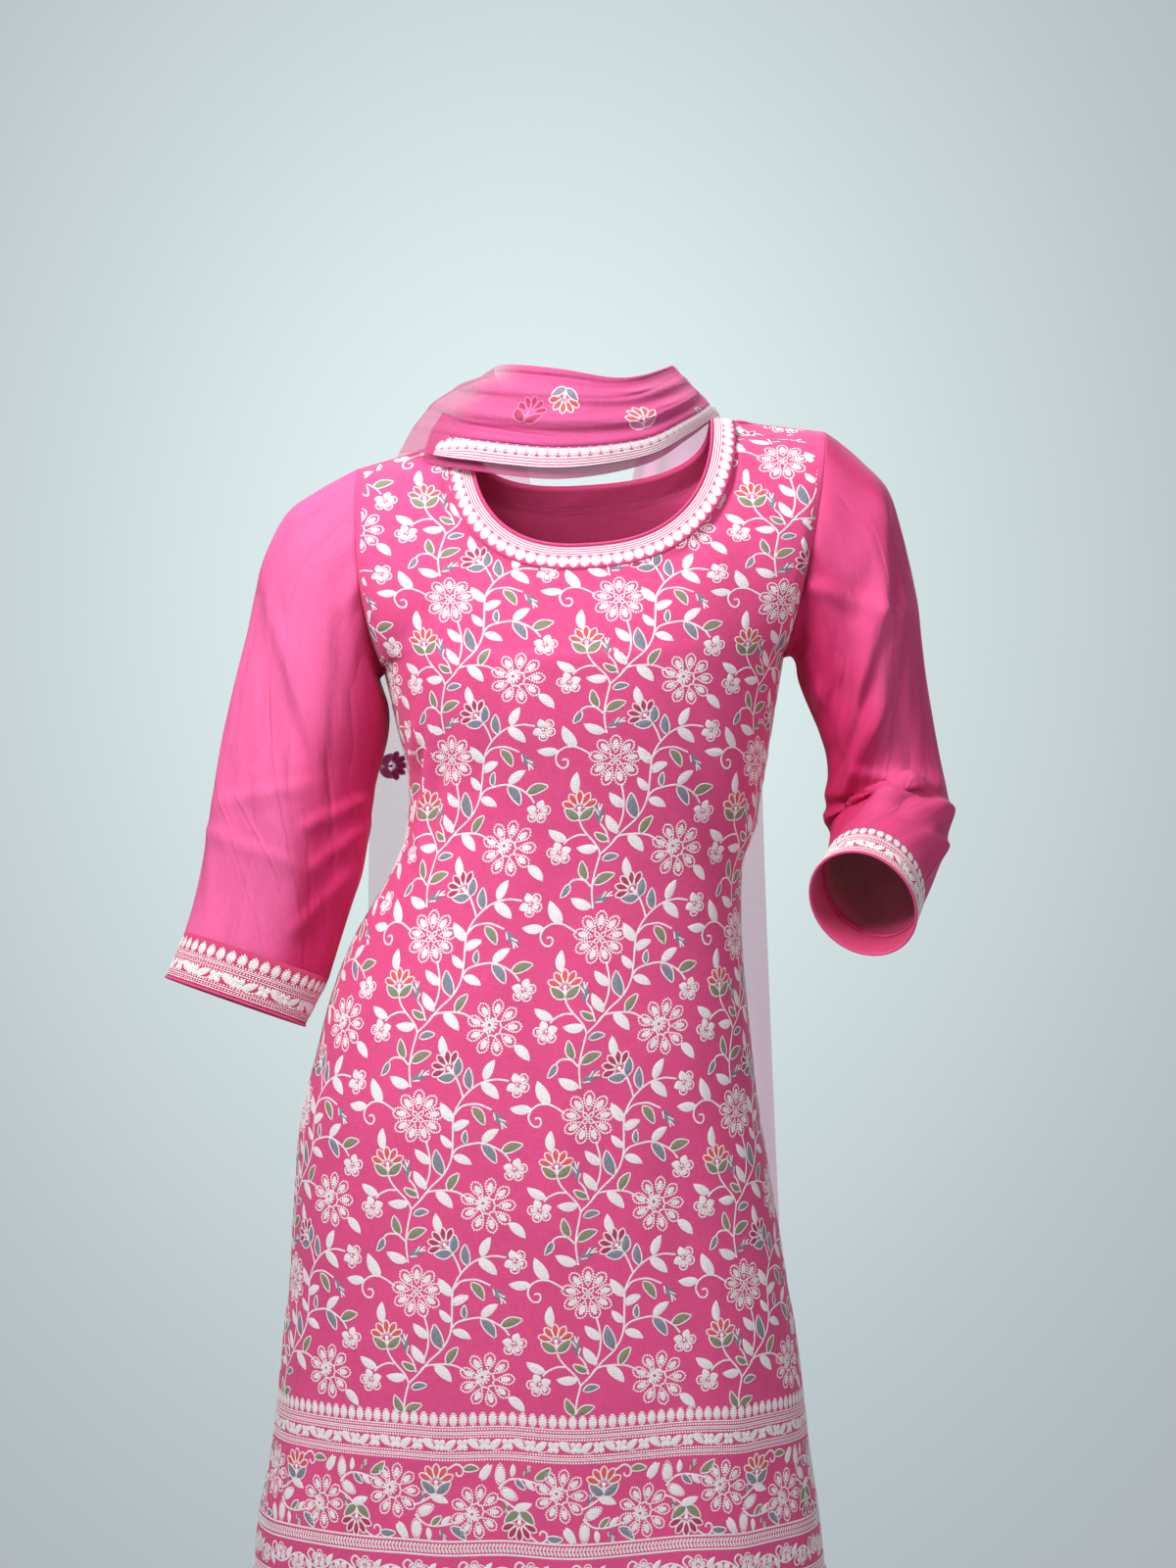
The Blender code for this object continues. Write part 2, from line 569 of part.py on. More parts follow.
def sleeve(name, cuff_name, hole, rings, cuff_end, creases):
    """A sleeve from its armhole to its cuff, then the cuff."""
    side = math.copysign(1.0, hole.top.x)
    turns = [2 * math.pi * k / SLEEVE_SIDES for k in range(SLEEVE_SIDES)]
    first, first_normals = [], []
    for turn in turns:
        front = turn <= math.pi
        around = turn if front else 2 * math.pi - turn
        normal = armhole_normal(hole, around, front)
        step = armhole(hole, around - SEAM_STEP, front) - armhole(hole, around + SEAM_STEP, front)
        outwards = np.cross(step / np.linalg.norm(step), normal)
        if outwards[0] * side < 0:
            outwards = -outwards
        first.append(armhole(hole, around, front) + outwards * SEAM_GAP / 2)
        first_normals.append(normal)
    stations = [np.array(first)]
    stations += [np.array([sleeve_ring(r, t) for t in turns]) for r in rings]
    flat = [s.reshape(-1) for s in stations]
    grid = np.array([through(flat, k / SLEEVE_ROWS).reshape(-1, 3) for k in range(SLEEVE_ROWS + 1)])
    normals = grid_normals(grid, side, True)
    centres = grid.mean(axis=1, keepdims=True)
    facing = np.sign(((grid - centres) * normals).sum(axis=2).mean())
    normals = normals * facing
    for i in range(2, SLEEVE_ROWS):
        for j in range(SLEEVE_SIDES):
            pressed = crease_depth(creases, i / SLEEVE_ROWS, j / SLEEVE_SIDES)
            grid[i][j] -= normals[i][j] * pressed
    normals[0] = first_normals
    cloth(name, grid, normals, SLEEVE_WALL, SHEER_PINK, 0.7, wrap=True)
    end = np.array([sleeve_ring(cuff_end, t) for t in turns])
    run = end - grid[-1]
    start = grid[-1] + run / np.linalg.norm(run, axis=1, keepdims=True) * SEAM_GAP
    band = np.array([start, (start + end) / 2, end])
    band_normals = grid_normals(band, side, True) * facing
    band_normals[0] = normals[-1]
    cloth(cuff_name, band, band_normals, SLEEVE_WALL, THREAD, wrap=True)


# The dupatta


def dupatta_front():
    """The stretch across the throat and the border along its lower edge."""
    columns = []
    for k in range(SWAG_COLUMNS + 1):
        t = k / SWAG_COLUMNS
        row = through(SWAG, t)
        upper, lower = row[0:3], row[3:6]
        out = (upper + lower) / 2 - np.array(NECK_AXIS)
        out[2] = 0.0
        out /= np.linalg.norm(out)
        held = math.sin(math.pi * t) ** 0.5
        column = []
        for i in range(SWAG_ROWS + 2):
            w = i / SWAG_ROWS * (1 - BORDER_SHARE) if i <= SWAG_ROWS else 1.0
            pleat = SWAG_PLEAT_DEPTH * math.cos(2 * math.pi * SWAG_PLEATS * w / (1 - BORDER_SHARE))
            belly = SWAG_BULGE * math.sin(math.pi * w)
            flat = 1.0 if i < SWAG_ROWS else 0.0
            column.append(upper + (lower - upper) * w + out * held * (belly + pleat * flat))
        columns.append(column)
    grid = np.array(columns).transpose(1, 0, 2)
    normals = grid_normals(grid, -1, False)
    for edge in (0, -1):
        normals[:, edge, 1] = 0.0
        normals[:, edge] /= np.linalg.norm(normals[:, edge], axis=1, keepdims=True)
    main, border = grid[:-1], grid[-2:].copy()
    step = border[1] - border[0]
    border[0] += step / np.linalg.norm(step, axis=1, keepdims=True) * SEAM_GAP
    cloth("dupatta_front", main, normals[:-1], DUPATTA_WALL, LILAC_PINK, 0.6)
    border_normals = normals[-2:].copy()
    border_normals[1] = normals[-2]
    cloth("dupatta_border", border, border_normals, DUPATTA_WALL, THREAD)


def dupatta_fall(name, table):
    """One end of the dupatta, from the shoulder down the back."""
    side = math.copysign(1.0, table[0].outer_x)
    rows = []
    for k in range(FALL_ROWS + 1):
        row = Fall(*through(table, (k / FALL_ROWS) ** FALL_ROW_POWER))
        points = []
        for j in range(FALL_COLUMNS + 1):
            w = j / FALL_COLUMNS
            x = row.inner_x + (row.outer_x - row.inner_x) * w
            z = row.inner_z + (row.outer_z - row.inner_z) * w
            turns = FALL_PLEATS * w + FALL_UNEVEN * math.sin(2 * math.pi * w * side)
            pleat = row.pleat * (1 - math.cos(2 * math.pi * turns)) * 0.5
            if k == 0:
                points.append((x, row.y, z + pleat))
            else:
                points.append((x, row.y + pleat, z))
        rows.append(points)
    grid = np.array(rows)
    normals = grid_normals(grid, -side, False)
    if normals[-1, :, 1].mean() < 0:
        normals = -normals
    normals[0, :, 1] = 0.0
    normals[0] /= np.linalg.norm(normals[0], axis=1, keepdims=True)
    cloth(name, grid, normals, DUPATTA_WALL, LILAC_PINK, 0.6)


# The sharara


def waistband(front, back):
    """The band that lies against the kurta's waist on the inside."""
    rows = list(range(HEM_ROWS, HEM_ROWS + WAISTBAND_ROWS + 1))
    points, normals = round_body(front, back, rows)
    normals[:, :, 2] = 0.0
    normals /= np.linalg.norm(normals, axis=2, keepdims=True)
    points = points - normals * (KURTA_WALL + SEAM_GAP)
    cloth("sharara_waistband", points, normals, SHARARA_WALL, PINK, wrap=True)


def inside_kurta(x, y, z):
    """A point of the sharara, drawn in where it would stand outside the kurta that covers it."""
    if z < HEM_Z - LEG_EASE:
        return x, y, z
    left, right = smooth(KURTA_SECTIONS, "left", z), smooth(KURTA_SECTIONS, "right", z)
    depth = smooth(KURTA_SECTIONS, "front" if y < 0 else "back", z)
    middle, half = (left + right) / 2, (right - left) / 2 - LEG_EASE
    share = min(max((x - middle) / half, -1.0), 1.0)
    room = (depth - LEG_EASE) * (1 - abs(share) ** SECTION_POWER) ** (1 / SECTION_POWER)
    return middle + share * half, min(max(y, -room), room), z


def leg(name, side):
    """One flared leg: half of the hips above the crotch, a whole tube below it, open by a seam inside."""
    top_z = LEVEL_ROWS_Z - WAISTBAND_DEPTH - SEAM_GAP
    levels = [*np.linspace(top_z, CROTCH_START_Z, LEG_ROWS_ABOVE_CROTCH + 1)]
    levels += [CROTCH_START_Z + (CROTCH_Z - CROTCH_START_Z) * share for share in CROTCH_ROWS]
    levels += [*np.linspace(CROTCH_Z, HEM_Z, LEG_ROWS_TO_HEM + 1)[1:]]
    levels += [*np.linspace(HEM_Z, LEG_SECTIONS[-1].z, LEG_ROWS_BELOW_HEM + 1)[1:]]
    rows = []
    for z in levels:
        row = {c: smooth(LEG_SECTIONS, c, z) for c in ("left", "right", "front", "back", "wave")}
        middle = (row["left"] + row["right"]) / 2
        width = (row["right"] - row["left"]) / 2
        closing = min(max((CROTCH_START_Z - z) / (CROTCH_START_Z - CROTCH_Z), 0.0), 1.0)
        apart = SEAM_GAP / 2 + INSEAM_APART * min(max((CROTCH_Z - z) / INSEAM_OPENS_OVER, 0.0), 1.0)
        inner = closing * width / 2
        half = width - inner
        reach = math.acos(max(-inner / half, -0.99999))
        whole_tube = math.pi - reach < SEAM_STEP
        points = []
        for j in range(LEG_COLUMNS + 1):
            limit = math.pi - SEAM_GAP / width if whole_tube else reach
            angle = limit * (1 - 2 * j / LEG_COLUMNS)
            c, s = math.cos(angle), math.sin(angle)
            wave = row["wave"] * math.cos(LEG_WAVES * angle + side + WAVE_UNEVEN * math.sin(2 * angle))
            power = 2 / LEG_POWER
            out = inner + half * math.copysign(abs(c) ** power, c)
            depth = row["front"] if s > 0 else row["back"]
            deep = -depth * math.copysign(abs(s) ** power, s)
            x = middle + side * (max(out + wave * c, 0.0) + apart)
            points.append(inside_kurta(x, deep - wave * s, z))
        rows.append(points)
    grid = np.array(rows)
    normals = grid_normals(grid, 1, False)
    centre = grid.mean(axis=1, keepdims=True)
    if ((grid - centre) * normals).sum() < 0:
        normals = -normals
    normals[0, :, 2] = 0.0
    normals[0] /= np.linalg.norm(normals[0], axis=1, keepdims=True)
    cloth(name, grid, normals, SHARARA_WALL, PINK)


for old in list(bpy.data.objects):
    bpy.data.objects.remove(old, do_unlink=True)

kurta_front = kurta_panel("kurta_front", True)
kurta_back = kurta_panel("kurta_back", False)
neck_band("neck_band_front", kurta_front)
neck_band("neck_band_back", kurta_back)
sleeve("sleeve_left", "cuff_left", ARMHOLE_LEFT, SLEEVE_LEFT_RINGS, CUFF_LEFT_END, CREASES_LEFT)
sleeve("sleeve_right", "cuff_right", ARMHOLE_RIGHT, SLEEVE_RIGHT_RINGS, CUFF_RIGHT_END, CREASES_RIGHT)
dupatta_front()
dupatta_fall("dupatta_fall_left", FALL_LEFT)
dupatta_fall("dupatta_fall_right", FALL_RIGHT)
waistband(kurta_front, kurta_back)
leg("sharara_leg_left", -1)
leg("sharara_leg_right", 1)
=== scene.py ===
import math

import bpy
import numpy as np
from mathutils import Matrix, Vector
from mathutils.bvhtree import BVHTree


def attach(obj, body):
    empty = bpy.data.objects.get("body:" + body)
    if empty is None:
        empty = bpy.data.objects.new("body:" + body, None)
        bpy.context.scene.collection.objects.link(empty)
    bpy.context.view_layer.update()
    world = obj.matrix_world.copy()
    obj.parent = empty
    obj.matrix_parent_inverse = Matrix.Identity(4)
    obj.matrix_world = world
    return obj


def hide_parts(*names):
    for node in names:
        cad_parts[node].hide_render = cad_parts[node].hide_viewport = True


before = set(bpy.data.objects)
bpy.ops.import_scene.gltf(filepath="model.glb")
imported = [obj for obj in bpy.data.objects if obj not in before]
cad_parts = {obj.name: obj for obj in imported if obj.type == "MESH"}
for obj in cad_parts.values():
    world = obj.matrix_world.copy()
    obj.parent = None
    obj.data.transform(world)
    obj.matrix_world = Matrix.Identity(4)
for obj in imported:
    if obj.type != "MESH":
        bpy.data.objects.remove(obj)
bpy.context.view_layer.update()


# The photographer's view.
# A level camera with a long lens stands three metres in front of the suit, at the height of its waist.
CAMERA_PLACE = (-0.0024, -3.0, -0.292)
CAMERA_LENS = 85.1

camera = bpy.data.objects.new("camera", bpy.data.cameras.new("camera"))
camera.location = CAMERA_PLACE
camera.rotation_euler = (math.radians(90), 0, 0)
camera.data.lens = CAMERA_LENS
bpy.context.scene.collection.objects.link(camera)
bpy.context.scene.camera = camera
bpy.context.scene.view_settings.view_transform = "Standard"


# The studio.
# A plain pale floor, and a pale blue-grey surround, with four big soft boxes: the main one high in front on
# the left, a wider one on the right, one above and behind the shoulders, and the strongest one behind. The
# surround as seen is a painted pool of light: lighter in its middle, darker towards its edges.
FLOOR_Z = -1.388
FLOOR_RADIUS = 2.0
FLOOR_SIDES = 96
FLOOR_GREY = (0.50, 0.53, 0.55)
FLOOR_SHADES = ((0.49, 0.52, 0.54), (0.51, 0.54, 0.56))
FLOOR_CLOUDS = 3.0
FLOOR_GRAINS = 260.0
FLOOR_ROUGHNESS = (0.80, 0.90)
FLOOR_GRAIN_HEIGHT = 0.0004
FLOOR_GRAIN_STRENGTH = 0.3
SURROUND_LIT_MIDDLE = (0.809, 0.948, 0.945)
SURROUND_SHADED_EDGE = (0.424, 0.469, 0.505)
SURROUND_CENTRE = (-0.016, 0.051)
SURROUND_FLAT = 0.77
SURROUND_FADE = (-0.04, 0.273)
SURROUND_TINT = (0.93, 0.97, 1.0)
SURROUND_LIGHT = 0.17
SOFT_BOXES = {  # place, target, width, power and spread in degrees
    "main": ((-1.05, -1.35, 1.25), (0.0, 0.0, 0.10), 1.2, 22.0, 100),
    "fill": ((1.5, -2.4, 0.5), (0.0, 0.0, -0.3), 2.0, 22.0, 180),
    "top": ((-0.2, 0.9, 1.7), (0.0, 0.0, -0.2), 1.4, 22.0, 180),
    "back": ((0.6, 2.6, 0.6), (0.0, 0.0, -0.5), 2.2, 34.0, 180),
}
NOISE_RANGE = (0.30, 0.70)  # where most of a noise's values lie


class Socket:
    """A socket of a node tree under way. Arithmetic on it adds the Math nodes."""

    def __init__(self, nodes, link):
        self.nodes = nodes
        self.link = link

    def math(self, operation, first, second=0.0):
        return self.nodes.node("Math", {"operation": operation}, {0: first, 1: second})

    def __add__(self, other):
        return self.math("ADD", self, other)

    __radd__ = __add__

    def __sub__(self, other):
        return self.math("SUBTRACT", self, other)

    def __rsub__(self, other):
        return self.math("SUBTRACT", other, self)

    def __mul__(self, other):
        return self.math("MULTIPLY", self, other)

    __rmul__ = __mul__

    def __pow__(self, power):
        return self.math("POWER", self, power)

    def __abs__(self):
        return self.nodes.node("Math", {"operation": "ABSOLUTE"}, {0: self})


class Nodes:
    """A node tree under way. Its node method adds any kind of node."""

    def __init__(self, tree):
        self.tree = tree

    def feed(self, socket, value):
        if isinstance(value, Socket):
            self.tree.links.new(value.link, socket)
        else:
            socket.default_value = value

    def node(self, kind, settings=None, sockets=None, result=0):
        made = self.tree.nodes.new("ShaderNode" + kind)
        for setting, value in (settings or {}).items():
            setattr(made, setting, value)
        for socket, value in (sockets or {}).items():
            self.feed(made.inputs[socket], value)
        return Socket(self, made.outputs[result])

    def parts(self, vector):
        return [self.node("SeparateXYZ", {}, {0: vector}, result=k) for k in range(3)]

    def vector(self, x, y, z):
        return self.node("CombineXYZ", {}, {0: x, 1: y, 2: z})

    def noise(self, place, scale, detail=2.0):
        return self.node("TexNoise", {}, {"Vector": place, "Scale": scale, "Detail": detail})

    def between(self, value, low, high):
        """0 where the value is under low, 1 where it is over high, and smooth in between."""
        return self.node("MapRange", {"interpolation_type": "SMOOTHSTEP"}, {0: value, 1: low, 2: high})

    def ranged(self, share, low, high):
        return share * (high - low) + low

    def mix(self, share, first, second):
        colours = [c if isinstance(c, Socket) else (*c, 1.0) for c in (first, second)]
        return self.node("Mix", {"data_type": "RGBA"}, {0: share, 6: colours[0], 7: colours[1]}, result=2)


class Finish(Nodes):
    """A material under way, with its one shader."""

    def __init__(self, name, colour, roughness, **constants):
        self.material = bpy.data.materials.new(name)
        self.material.use_nodes = True
        super().__init__(self.material.node_tree)
        self.shader = self.tree.nodes["Principled BSDF"]
        self.surface("Base Color", (*colour, 1.0))
        self.surface("Roughness", roughness)
        for socket, value in constants.items():
            self.surface(socket.replace("_", " "), value)

    def surface(self, socket, value):
        self.feed(self.shader.inputs[socket], value)

    def attribute(self, name):
        """The parts of a vector that the mesh carries at each of its points."""
        return self.parts(self.node("Attribute", {"attribute_name": name}, result=1))

    def bump(self, height, distance, strength=1.0):
        sockets = {"Height": height, "Distance": distance, "Strength": strength}
        self.surface("Normal", self.node("Bump", {}, sockets))

    def streaks(self, across, along, noise):
        """A noise that is stretched over two lengths."""
        crossways, lengthways, offset, detail = noise
        return self.noise(self.vector(across * crossways, along * lengthways, offset), 1.0, detail)

    def mottle(self, noise, dark, light):
        """A colour that drifts between two shades with the noise."""
        self.surface("Base Color", self.mix(self.between(noise, *NOISE_RANGE), dark, light))


for name, (place, target, width, power, spread) in SOFT_BOXES.items():
    light = bpy.data.objects.new(name + "_soft_box", bpy.data.lights.new(name, "AREA"))
    light.data.shape = "DISK"
    light.data.size = width
    light.data.energy = power
    light.data.spread = math.radians(spread)
    light.location = place
    light.rotation_euler = (Vector(target) - Vector(place)).to_track_quat("-Z", "Y").to_euler()
    bpy.context.scene.collection.objects.link(light)

surround = bpy.data.worlds.new("surround")
bpy.context.scene.world = surround
surround.use_nodes = True
sky = Nodes(surround.node_tree)
right, _, up = sky.parts(sky.node("TexCoord"))
# The seen surround is painted lighter round its middle and darker to its edges, a painted pool of light; the
# light it gives the suit is an even tint.
sideways, upwards = right - SURROUND_CENTRE[0], (up - SURROUND_CENTRE[1]) * SURROUND_FLAT
off_centre = (sideways * sideways + upwards * upwards) ** 0.5
backdrop = sky.mix(sky.between(off_centre, *SURROUND_FADE), SURROUND_LIT_MIDDLE, SURROUND_SHADED_EDGE)
seen = sky.node("Background", {}, {"Color": backdrop})
lighting = sky.node("Background", {}, {"Color": (*SURROUND_TINT, 1.0), "Strength": SURROUND_LIGHT})
shown = sky.node("MixShader", {}, {0: sky.node("LightPath"), 1: lighting, 2: seen})
sky.feed(sky.tree.nodes["World Output"].inputs[0], shown)

bpy.ops.mesh.primitive_circle_add(
    vertices=FLOOR_SIDES, radius=FLOOR_RADIUS, fill_type="NGON", location=(0, 0, FLOOR_Z)
)
floor = bpy.context.object
floor.name = "floor"
floor_finish = Finish("pale_floor", FLOOR_GREY, 0.85)
floor_place = floor_finish.node("TexCoord", result=3)
clouds = floor_finish.noise(floor_place, FLOOR_CLOUDS, 3.0)
grain = floor_finish.noise(floor_place, FLOOR_GRAINS)
floor_finish.mottle(clouds, *FLOOR_SHADES)
floor_finish.surface("Roughness", floor_finish.ranged(grain, *FLOOR_ROUGHNESS))
floor_finish.bump(grain, FLOOR_GRAIN_HEIGHT, FLOOR_GRAIN_STRENGTH)
floor.data.materials.append(floor_finish.material)


# The kurta's cloth.
# Two A-line panels of soft pink georgette, front and back, joined along the shoulders and sides. Each is set
# out from the cut's own sizes in rows from hem to neck, then cut finer, and pressed into its soft folds.
HEM_Z = -0.925
WAIST_Z = -0.330
BAND_Z = -0.370
UNDERARM_Z = (-0.203, -0.190)
KURTA_ROWS = np.array([  # height, left, right, front, back
    [-0.925, -0.2720, 0.1890, 0.166, 0.164],
    [-0.866, -0.2665, 0.1825, 0.159, 0.156],
    [-0.820, -0.2565, 0.1755, 0.154, 0.150],
    [-0.750, -0.2500, 0.1680, 0.148, 0.143],
    [-0.690, -0.2430, 0.1580, 0.143, 0.138],
    [-0.622, -0.2395, 0.1475, 0.137, 0.133],
    [-0.560, -0.2340, 0.1365, 0.131, 0.130],
    [-0.500, -0.2190, 0.1295, 0.122, 0.124],
    [-0.435, -0.2010, 0.1235, 0.111, 0.112],
    [-0.390, -0.1760, 0.1210, 0.105, 0.101],
    [-0.360, -0.1600, 0.1225, 0.103, 0.095],
    [-0.330, -0.1490, 0.1300, 0.104, 0.092],
    [-0.290, -0.1470, 0.1390, 0.110, 0.091],
    [-0.250, -0.1555, 0.1455, 0.118, 0.094],
    [-0.190, -0.1690, 0.1555, 0.122, 0.099],
])
SECTION_POWER = 2.3
SHOULDER_LINE = np.array([[-0.1885, -0.037], [-0.0960, -0.010], [0.0970, 0.004], [0.1885, -0.007]])
NECK_MIDDLE = (SHOULDER_LINE[1, 0] + SHOULDER_LINE[2, 0]) / 2
NECK_HALF = (SHOULDER_LINE[2, 0] - SHOULDER_LINE[1, 0]) / 2
NECK_DROP = {"front": 0.101, "back": 0.042}
NECK_POWER = 2.5
NECK_BAND = 0.019
CHEST_ROUNDING = 0.275
BACK_DEPTH = 0.100
BACK_ROUNDING = 0.050
ARMHOLE = {  # the shoulder point, the underarm point, and how late the seam draws in
    "left": (SHOULDER_LINE[0], (-0.1670, -0.203), 3.0),
    "right": (SHOULDER_LINE[3], (0.1555, -0.190), 1.5),
}
ARMHOLE_REACH = {"front": 0.058, "back": 0.066}
FACES = {"front": -1, "back": 1}  # the way along y that each panel faces
PANEL_COLUMNS = {"front": (14, 5), "back": (8, 4)}  # across the neck, and along each shoulder
PANEL_CUTS = {"front": (5, 7), "back": (5, 6)}
HEM_ROWS = 12
BAND_ROWS = 2
WAIST_ROWS = 3
CHEST_ROWS = 8
STRIP_ROWS = 6
CURVE_STEPS = 160
HEM_FOLDS = {  # place across the panel, width, depth at the hem
    "front": [
        (-0.78, 0.10, 0.007), (-0.42, 0.13, 0.004), (0.05, 0.16, 0.005), (0.47, 0.12, 0.005),
        (0.80, 0.09, 0.006),
    ],
    "back": [(-0.62, 0.14, 0.006), (-0.10, 0.17, 0.005), (0.55, 0.14, 0.006)],
}
FOLDS_START_Z = -0.430
FOLDS_OPEN = 1.3
FOLDS_STOP = 6
SEAM_LIFT = 4
SEAM_GAP = 0.00005
KURTA_WALL = 0.0012
GEORGETTE_PINK = (0.74, 0.065, 0.232)
WARP = (900.0, 110.0, 0.0, 2.0)  # a noise's changes in a metre across and along, its offset and its detail
WEFT = (110.0, 900.0, 3.0, 2.0)
CLOUDS = (14.0, 14.0, 7.0, 3.0)
YARN_SHARE = 0.7
SLUB_DARKENS = 1.6
SLUB_LIGHTENS = (0.9, 0.05)
CLOUD_HEIGHT = 14.0
YARN_HEIGHT = 0.0003
# Pulls and dents of the worn cloth: x, z, direction in degrees, half length, half width, depth.
PULLS = {
    "front": [
        (-0.1300, -0.293, 83, 0.034, 0.0042, -0.0060),
        (-0.1215, -0.296, 82, 0.040, 0.0055, 0.0030),
        (-0.1375, -0.288, 84, 0.030, 0.0040, 0.0035),
        (-0.1400, -0.262, 80, 0.020, 0.0040, -0.0045),
        (-0.1355, -0.332, 97, 0.026, 0.0045, -0.0045),
        (-0.1130, -0.330, 74, 0.060, 0.0090, -0.0025),
        (-0.0960, -0.300, 70, 0.070, 0.0100, 0.0024),
        (0.118, -0.300, 118, 0.060, 0.012, -0.0028),
        (0.098, -0.335, 108, 0.070, 0.012, 0.0022),
        (-0.130, -0.160, 40, 0.045, 0.012, 0.0025),
        (0.120, -0.150, 140, 0.045, 0.012, 0.0025),
        (-0.020, -0.560, 84, 0.120, 0.020, -0.0025),
        (-0.140, -0.620, 80, 0.130, 0.018, 0.0030),
        (0.070, -0.640, 96, 0.120, 0.020, 0.0028),
        (-0.090, -0.470, 50, 0.060, 0.020, -0.0020),
    ],
    "back": [
        (-0.110, -0.300, 100, 0.080, 0.014, -0.0030),
        (0.080, -0.290, 80, 0.080, 0.014, -0.0030),
        (-0.010, -0.330, 92, 0.070, 0.016, 0.0020),
        (-0.080, -0.600, 96, 0.130, 0.022, -0.0030),
        (0.060, -0.640, 85, 0.130, 0.020, 0.0030),
    ],
}
PULLS_START_IN = 5
PULLS_STOP_UNDER = 10


def curve(rows, column, at):
    """A column of a table at the given heights, on a cubic through its rows that never overshoots them."""
    keys, values = rows[:, 0], rows[:, column]
    if keys[0] > keys[-1]:
        keys, values = keys[::-1], values[::-1]
    steps, rises = np.diff(keys), np.diff(values)
    slopes = rises / steps
    tangents = np.zeros(len(keys))
    tangents[[0, -1]] = slopes[[0, -1]]
    alike = slopes[:-1] * slopes[1:] > 0
    tangents[1:-1][alike] = (2 * slopes[:-1] * slopes[1:])[alike] / (slopes[:-1] + slopes[1:])[alike]
    at = np.clip(at, keys[0], keys[-1])
    k = np.clip(np.searchsorted(keys, at) - 1, 0, len(keys) - 2)
    t = (at - keys[k]) / steps[k]
    start, end = tangents[k] * steps[k], tangents[k + 1] * steps[k]
    return values[k] + t * (start + t * (3 * rises[k] - 2 * start - end + t * (start + end - 2 * rises[k])))


def through(rows, t, closed=False):
    """Points on a smooth curve through rows of numbers, with t counted in rows."""
    rows, t = np.asarray(rows, float), np.asarray(t, float)
    if closed:
        rows = np.concatenate([rows[-1:], rows, rows[:2]])
    else:
        rows = np.concatenate([2 * rows[:1] - rows[1:2], rows, 2 * rows[-1:] - rows[-2:-1]])
    k = np.clip(t.astype(int), 0, len(rows) - 4)
    f = (t - k).reshape((-1,) + (1,) * (rows.ndim - 1))
    before, a, b, after = rows[k], rows[k + 1], rows[k + 2], rows[k + 3]
    slope, bend, twist = b - before, 2 * before - 5 * a + 4 * b - after, 3 * (a - b) + after - before
    return a + 0.5 * f * (slope + f * (bend + f * twist))


def finer(grid, down, across, closed=False):
    """A grid of points with each of its cells cut into down by across, on smooth curves."""
    rows = through(grid, np.arange((len(grid) - 1) * down + 1) / down)
    columns = grid.shape[1] if closed else grid.shape[1] - 1
    steps = np.arange(columns * across + (0 if closed else 1)) / across
    return through(rows.swapaxes(0, 1), steps, closed).swapaxes(0, 1)


def reach_along(points):
    """How far along a line each of its points lies."""
    return np.concatenate([[0.0], np.cumsum(np.linalg.norm(np.diff(points, axis=0), axis=1))])


def length_of(line):
    return np.linalg.norm(np.diff(line, axis=0), axis=1).sum()


def evenly(points, fractions):
    """Points at the given fractions of a line's length."""
    reach = reach_along(points)
    return np.stack([np.interp(fractions, reach / reach[-1], p) for p in points.T], axis=1)


def kurta_at(z):
    """The kurta's left and right edges at a height, and how far each of its faces stands out."""
    left, right, front, back = (curve(KURTA_ROWS, column, z) for column in range(1, 5))
    return left, right, {"front": front, "back": back}


def squared(wave, power=SECTION_POWER):
    """A cosine or sine drawn out, so that it goes round a superellipse and not a circle."""
    return np.sign(wave) * abs(wave) ** (2 / power)


def superellipse(share):
    return np.maximum(1 - abs(share) ** SECTION_POWER, 0.0) ** (1 / SECTION_POWER)


def shoulder_z(x):
    return np.interp(x, SHOULDER_LINE[:, 0], SHOULDER_LINE[:, 1])


def chest_depth(below, face):
    """How far the cloth stands in front of, or behind, the shoulder line, this far below it."""
    below = np.maximum(below, 0.0)
    if face == "front":
        return CHEST_ROUNDING * np.sqrt(below)
    return BACK_DEPTH * np.sqrt(1 - np.exp(-below / BACK_ROUNDING))


def armhole(side, around, face):
    """A point of an armhole; around runs from 0 at the shoulder to pi at the underarm."""
    top, bottom, draw = ARMHOLE[side]
    down = (1 - math.cos(around)) / 2
    x = top[0] + (bottom[0] - top[0]) * down**draw
    y = FACES[face] * ARMHOLE_REACH[face] * math.sin(around)
    return np.array([x, y, top[1] + (bottom[1] - top[1]) * down])


def neckline(face, outside, steps):
    """The neckline, or a line this far outside it, from shoulder to shoulder."""
    angle = np.linspace(0, math.pi, CURVE_STEPS + 1)
    x = NECK_MIDDLE - (NECK_HALF + outside) * squared(np.cos(angle), NECK_POWER)
    below = (NECK_DROP[face] + outside) * squared(np.sin(angle), NECK_POWER)
    line = np.stack([x, chest_depth(below, face) * FACES[face], shoulder_z(x) - below], axis=1)
    return evenly(line, np.linspace(0, 1, steps + 1))


